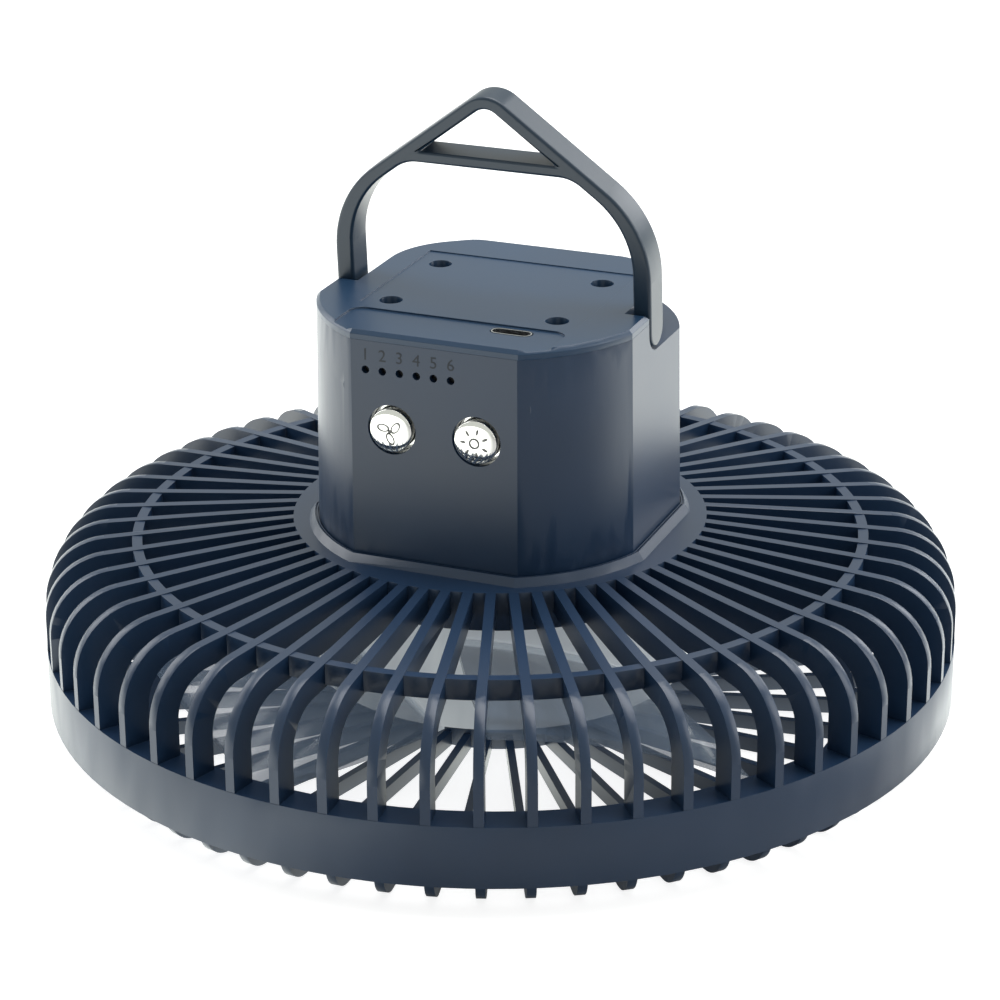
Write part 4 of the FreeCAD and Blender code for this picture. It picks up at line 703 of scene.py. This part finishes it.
# How bright the sky, the floor and its dark part are: to diffuse rays, in reflections and seen straight on
SKY_SHADE, SKY_GLOSSY, SKY_SEEN = 0.3, 0.72, 1.0
FLOOR_SHADE, FLOOR_GLOSSY, FLOOR_SEEN = 0.75, 1.8, 0.85
DARK_SHADE, DARK_GLOSSY = 0.25, 0.1

# The floor's dark part: its direction, the cosines where it starts and is full, and where it fades in
DARK_TOWARD = (0.707, -0.707, 0.0)
DARK_COSINES = (0.47, 0.866)
DARK_NEAR = (0.03, 0.07)


def area_lamp(name, place, width, height, power):
    """A soft box that faces the fan."""
    light = bpy.data.lights.new(name, "AREA")
    light.shape = "RECTANGLE"
    light.size = width
    light.size_y = height
    light.energy = power
    lamp = bpy.data.objects.new(name, light)
    lamp.location = place
    lamp.rotation_mode = "QUATERNION"
    lamp.rotation_quaternion = (LAMP_AIM - Vector(place)).to_track_quat("-Z", "Y")
    bpy.context.scene.collection.objects.link(lamp)


def choose(tree, switch, off, on):
    """One value where a switch is 0 and another where it is 1; each is a number or a socket."""
    node = tree.nodes.new("ShaderNodeMix")
    node.data_type = "FLOAT"
    tree.links.new(switch, node.inputs[0])
    for socket, value in zip((node.inputs[2], node.inputs[3]), (off, on)):
        if isinstance(value, float):
            socket.default_value = value
        else:
            tree.links.new(value, socket)
    return node.outputs[0]


def stage_light(tree, shade, glossy, seen):
    """How bright the stage is to diffuse rays, in reflections, and seen straight on or through plastic."""
    paths = tree.nodes.new("ShaderNodeLightPath")
    straight = tree.nodes.new("ShaderNodeMath")
    straight.operation = "MAXIMUM"
    tree.links.new(paths.outputs["Is Camera Ray"], straight.inputs[0])
    tree.links.new(paths.outputs["Is Transmission Ray"], straight.inputs[1])
    reflected = choose(tree, paths.outputs["Is Glossy Ray"], shade, glossy)
    return choose(tree, straight.outputs[0], reflected, seen)


def stage_tint(tree):
    """Pure white seen straight on, and faintly warm in what the fan reflects."""
    paths = tree.nodes.new("ShaderNodeLightPath")
    return mix_colours(tree, paths.outputs["Is Camera Ray"], WARM_TINT, WHITE)


def make_world():
    """The studio's even sky."""
    world = bpy.data.worlds.new("studio")
    bpy.context.scene.world = world
    world.use_nodes = True
    tree = world.node_tree
    sky = tree.nodes["Background"]
    tree.links.new(stage_tint(tree), sky.inputs["Color"])
    tree.links.new(stage_light(tree, SKY_SHADE, SKY_GLOSSY, SKY_SEEN), sky.inputs["Strength"])


def dark_side(tree, place):
    """1 on the part of the floor before the camera that a dark flag would cover, else 0."""
    level = tree.nodes.new("ShaderNodeVectorMath")
    level.operation = "NORMALIZE"
    tree.links.new(place, level.inputs[0])
    toward = tree.nodes.new("ShaderNodeVectorMath")
    toward.operation = "DOT_PRODUCT"
    toward.inputs[1].default_value = DARK_TOWARD
    tree.links.new(level.outputs["Vector"], toward.inputs[0])
    edge = tree.nodes.new("ShaderNodeMapRange")
    edge.interpolation_type = "SMOOTHSTEP"
    edge.inputs["From Min"].default_value, edge.inputs["From Max"].default_value = DARK_COSINES
    tree.links.new(toward.outputs["Value"], edge.inputs["Value"])
    away = tree.nodes.new("ShaderNodeVectorMath")
    away.operation = "LENGTH"
    tree.links.new(place, away.inputs[0])
    beyond = remap(tree, away.outputs["Value"], 0.0, 1.0, *DARK_NEAR)
    both = tree.nodes.new("ShaderNodeMath")
    both.operation = "MULTIPLY"
    tree.links.new(edge.outputs["Result"], both.inputs[0])
    tree.links.new(beyond, both.inputs[1])
    return both.outputs[0]


def make_floor():
    """A pale floor that is clear from beneath."""
    clear_selection()
    bpy.ops.mesh.primitive_plane_add(size=FLOOR_SIZE, location=(0.0, 0.0, -FLOOR_DROP))
    floor = bpy.context.object
    floor.name = "floor"
    material, tree, shader, place = new_material("pale_floor")
    shader.inputs["Base Color"].default_value = (0.5, 0.5, 0.5, 1.0)
    shader.inputs["Roughness"].default_value = 0.8
    tree.links.new(stage_tint(tree), shader.inputs["Emission Color"])
    flagged = dark_side(tree, place)
    shade = choose(tree, flagged, FLOOR_SHADE, DARK_SHADE)
    glossy = choose(tree, flagged, FLOOR_GLOSSY, DARK_GLOSSY)
    light = stage_light(tree, shade, glossy, FLOOR_SEEN)
    tree.links.new(light, shader.inputs["Emission Strength"])
    seen_from = tree.nodes.new("ShaderNodeNewGeometry")
    tree.links.new(choose(tree, seen_from.outputs["Backfacing"], 1.0, 0.0), shader.inputs["Alpha"])
    floor.data.materials.append(material)


def make_camera():
    """The photograph's view of the fan."""
    camera = bpy.data.objects.new("camera", bpy.data.cameras.new("camera"))
    camera.data.sensor_width = CAMERA_SENSOR
    camera.data.lens = CAMERA_LENS
    camera.location = CAMERA_PLACE
    camera.rotation_mode = "QUATERNION"
    look = (CAMERA_AIM - CAMERA_PLACE).to_track_quat("-Z", "Y")
    camera.rotation_quaternion = look @ Quaternion(UP, CAMERA_ROLL)
    camera.data.clip_start, camera.data.clip_end = CAMERA_CLIP
    bpy.context.scene.collection.objects.link(camera)
    bpy.context.scene.camera = camera


make_world()
make_floor()
make_camera()
for lamp in LAMPS:
    area_lamp(*lamp)

bpy.context.scene.view_settings.view_transform = "Standard"
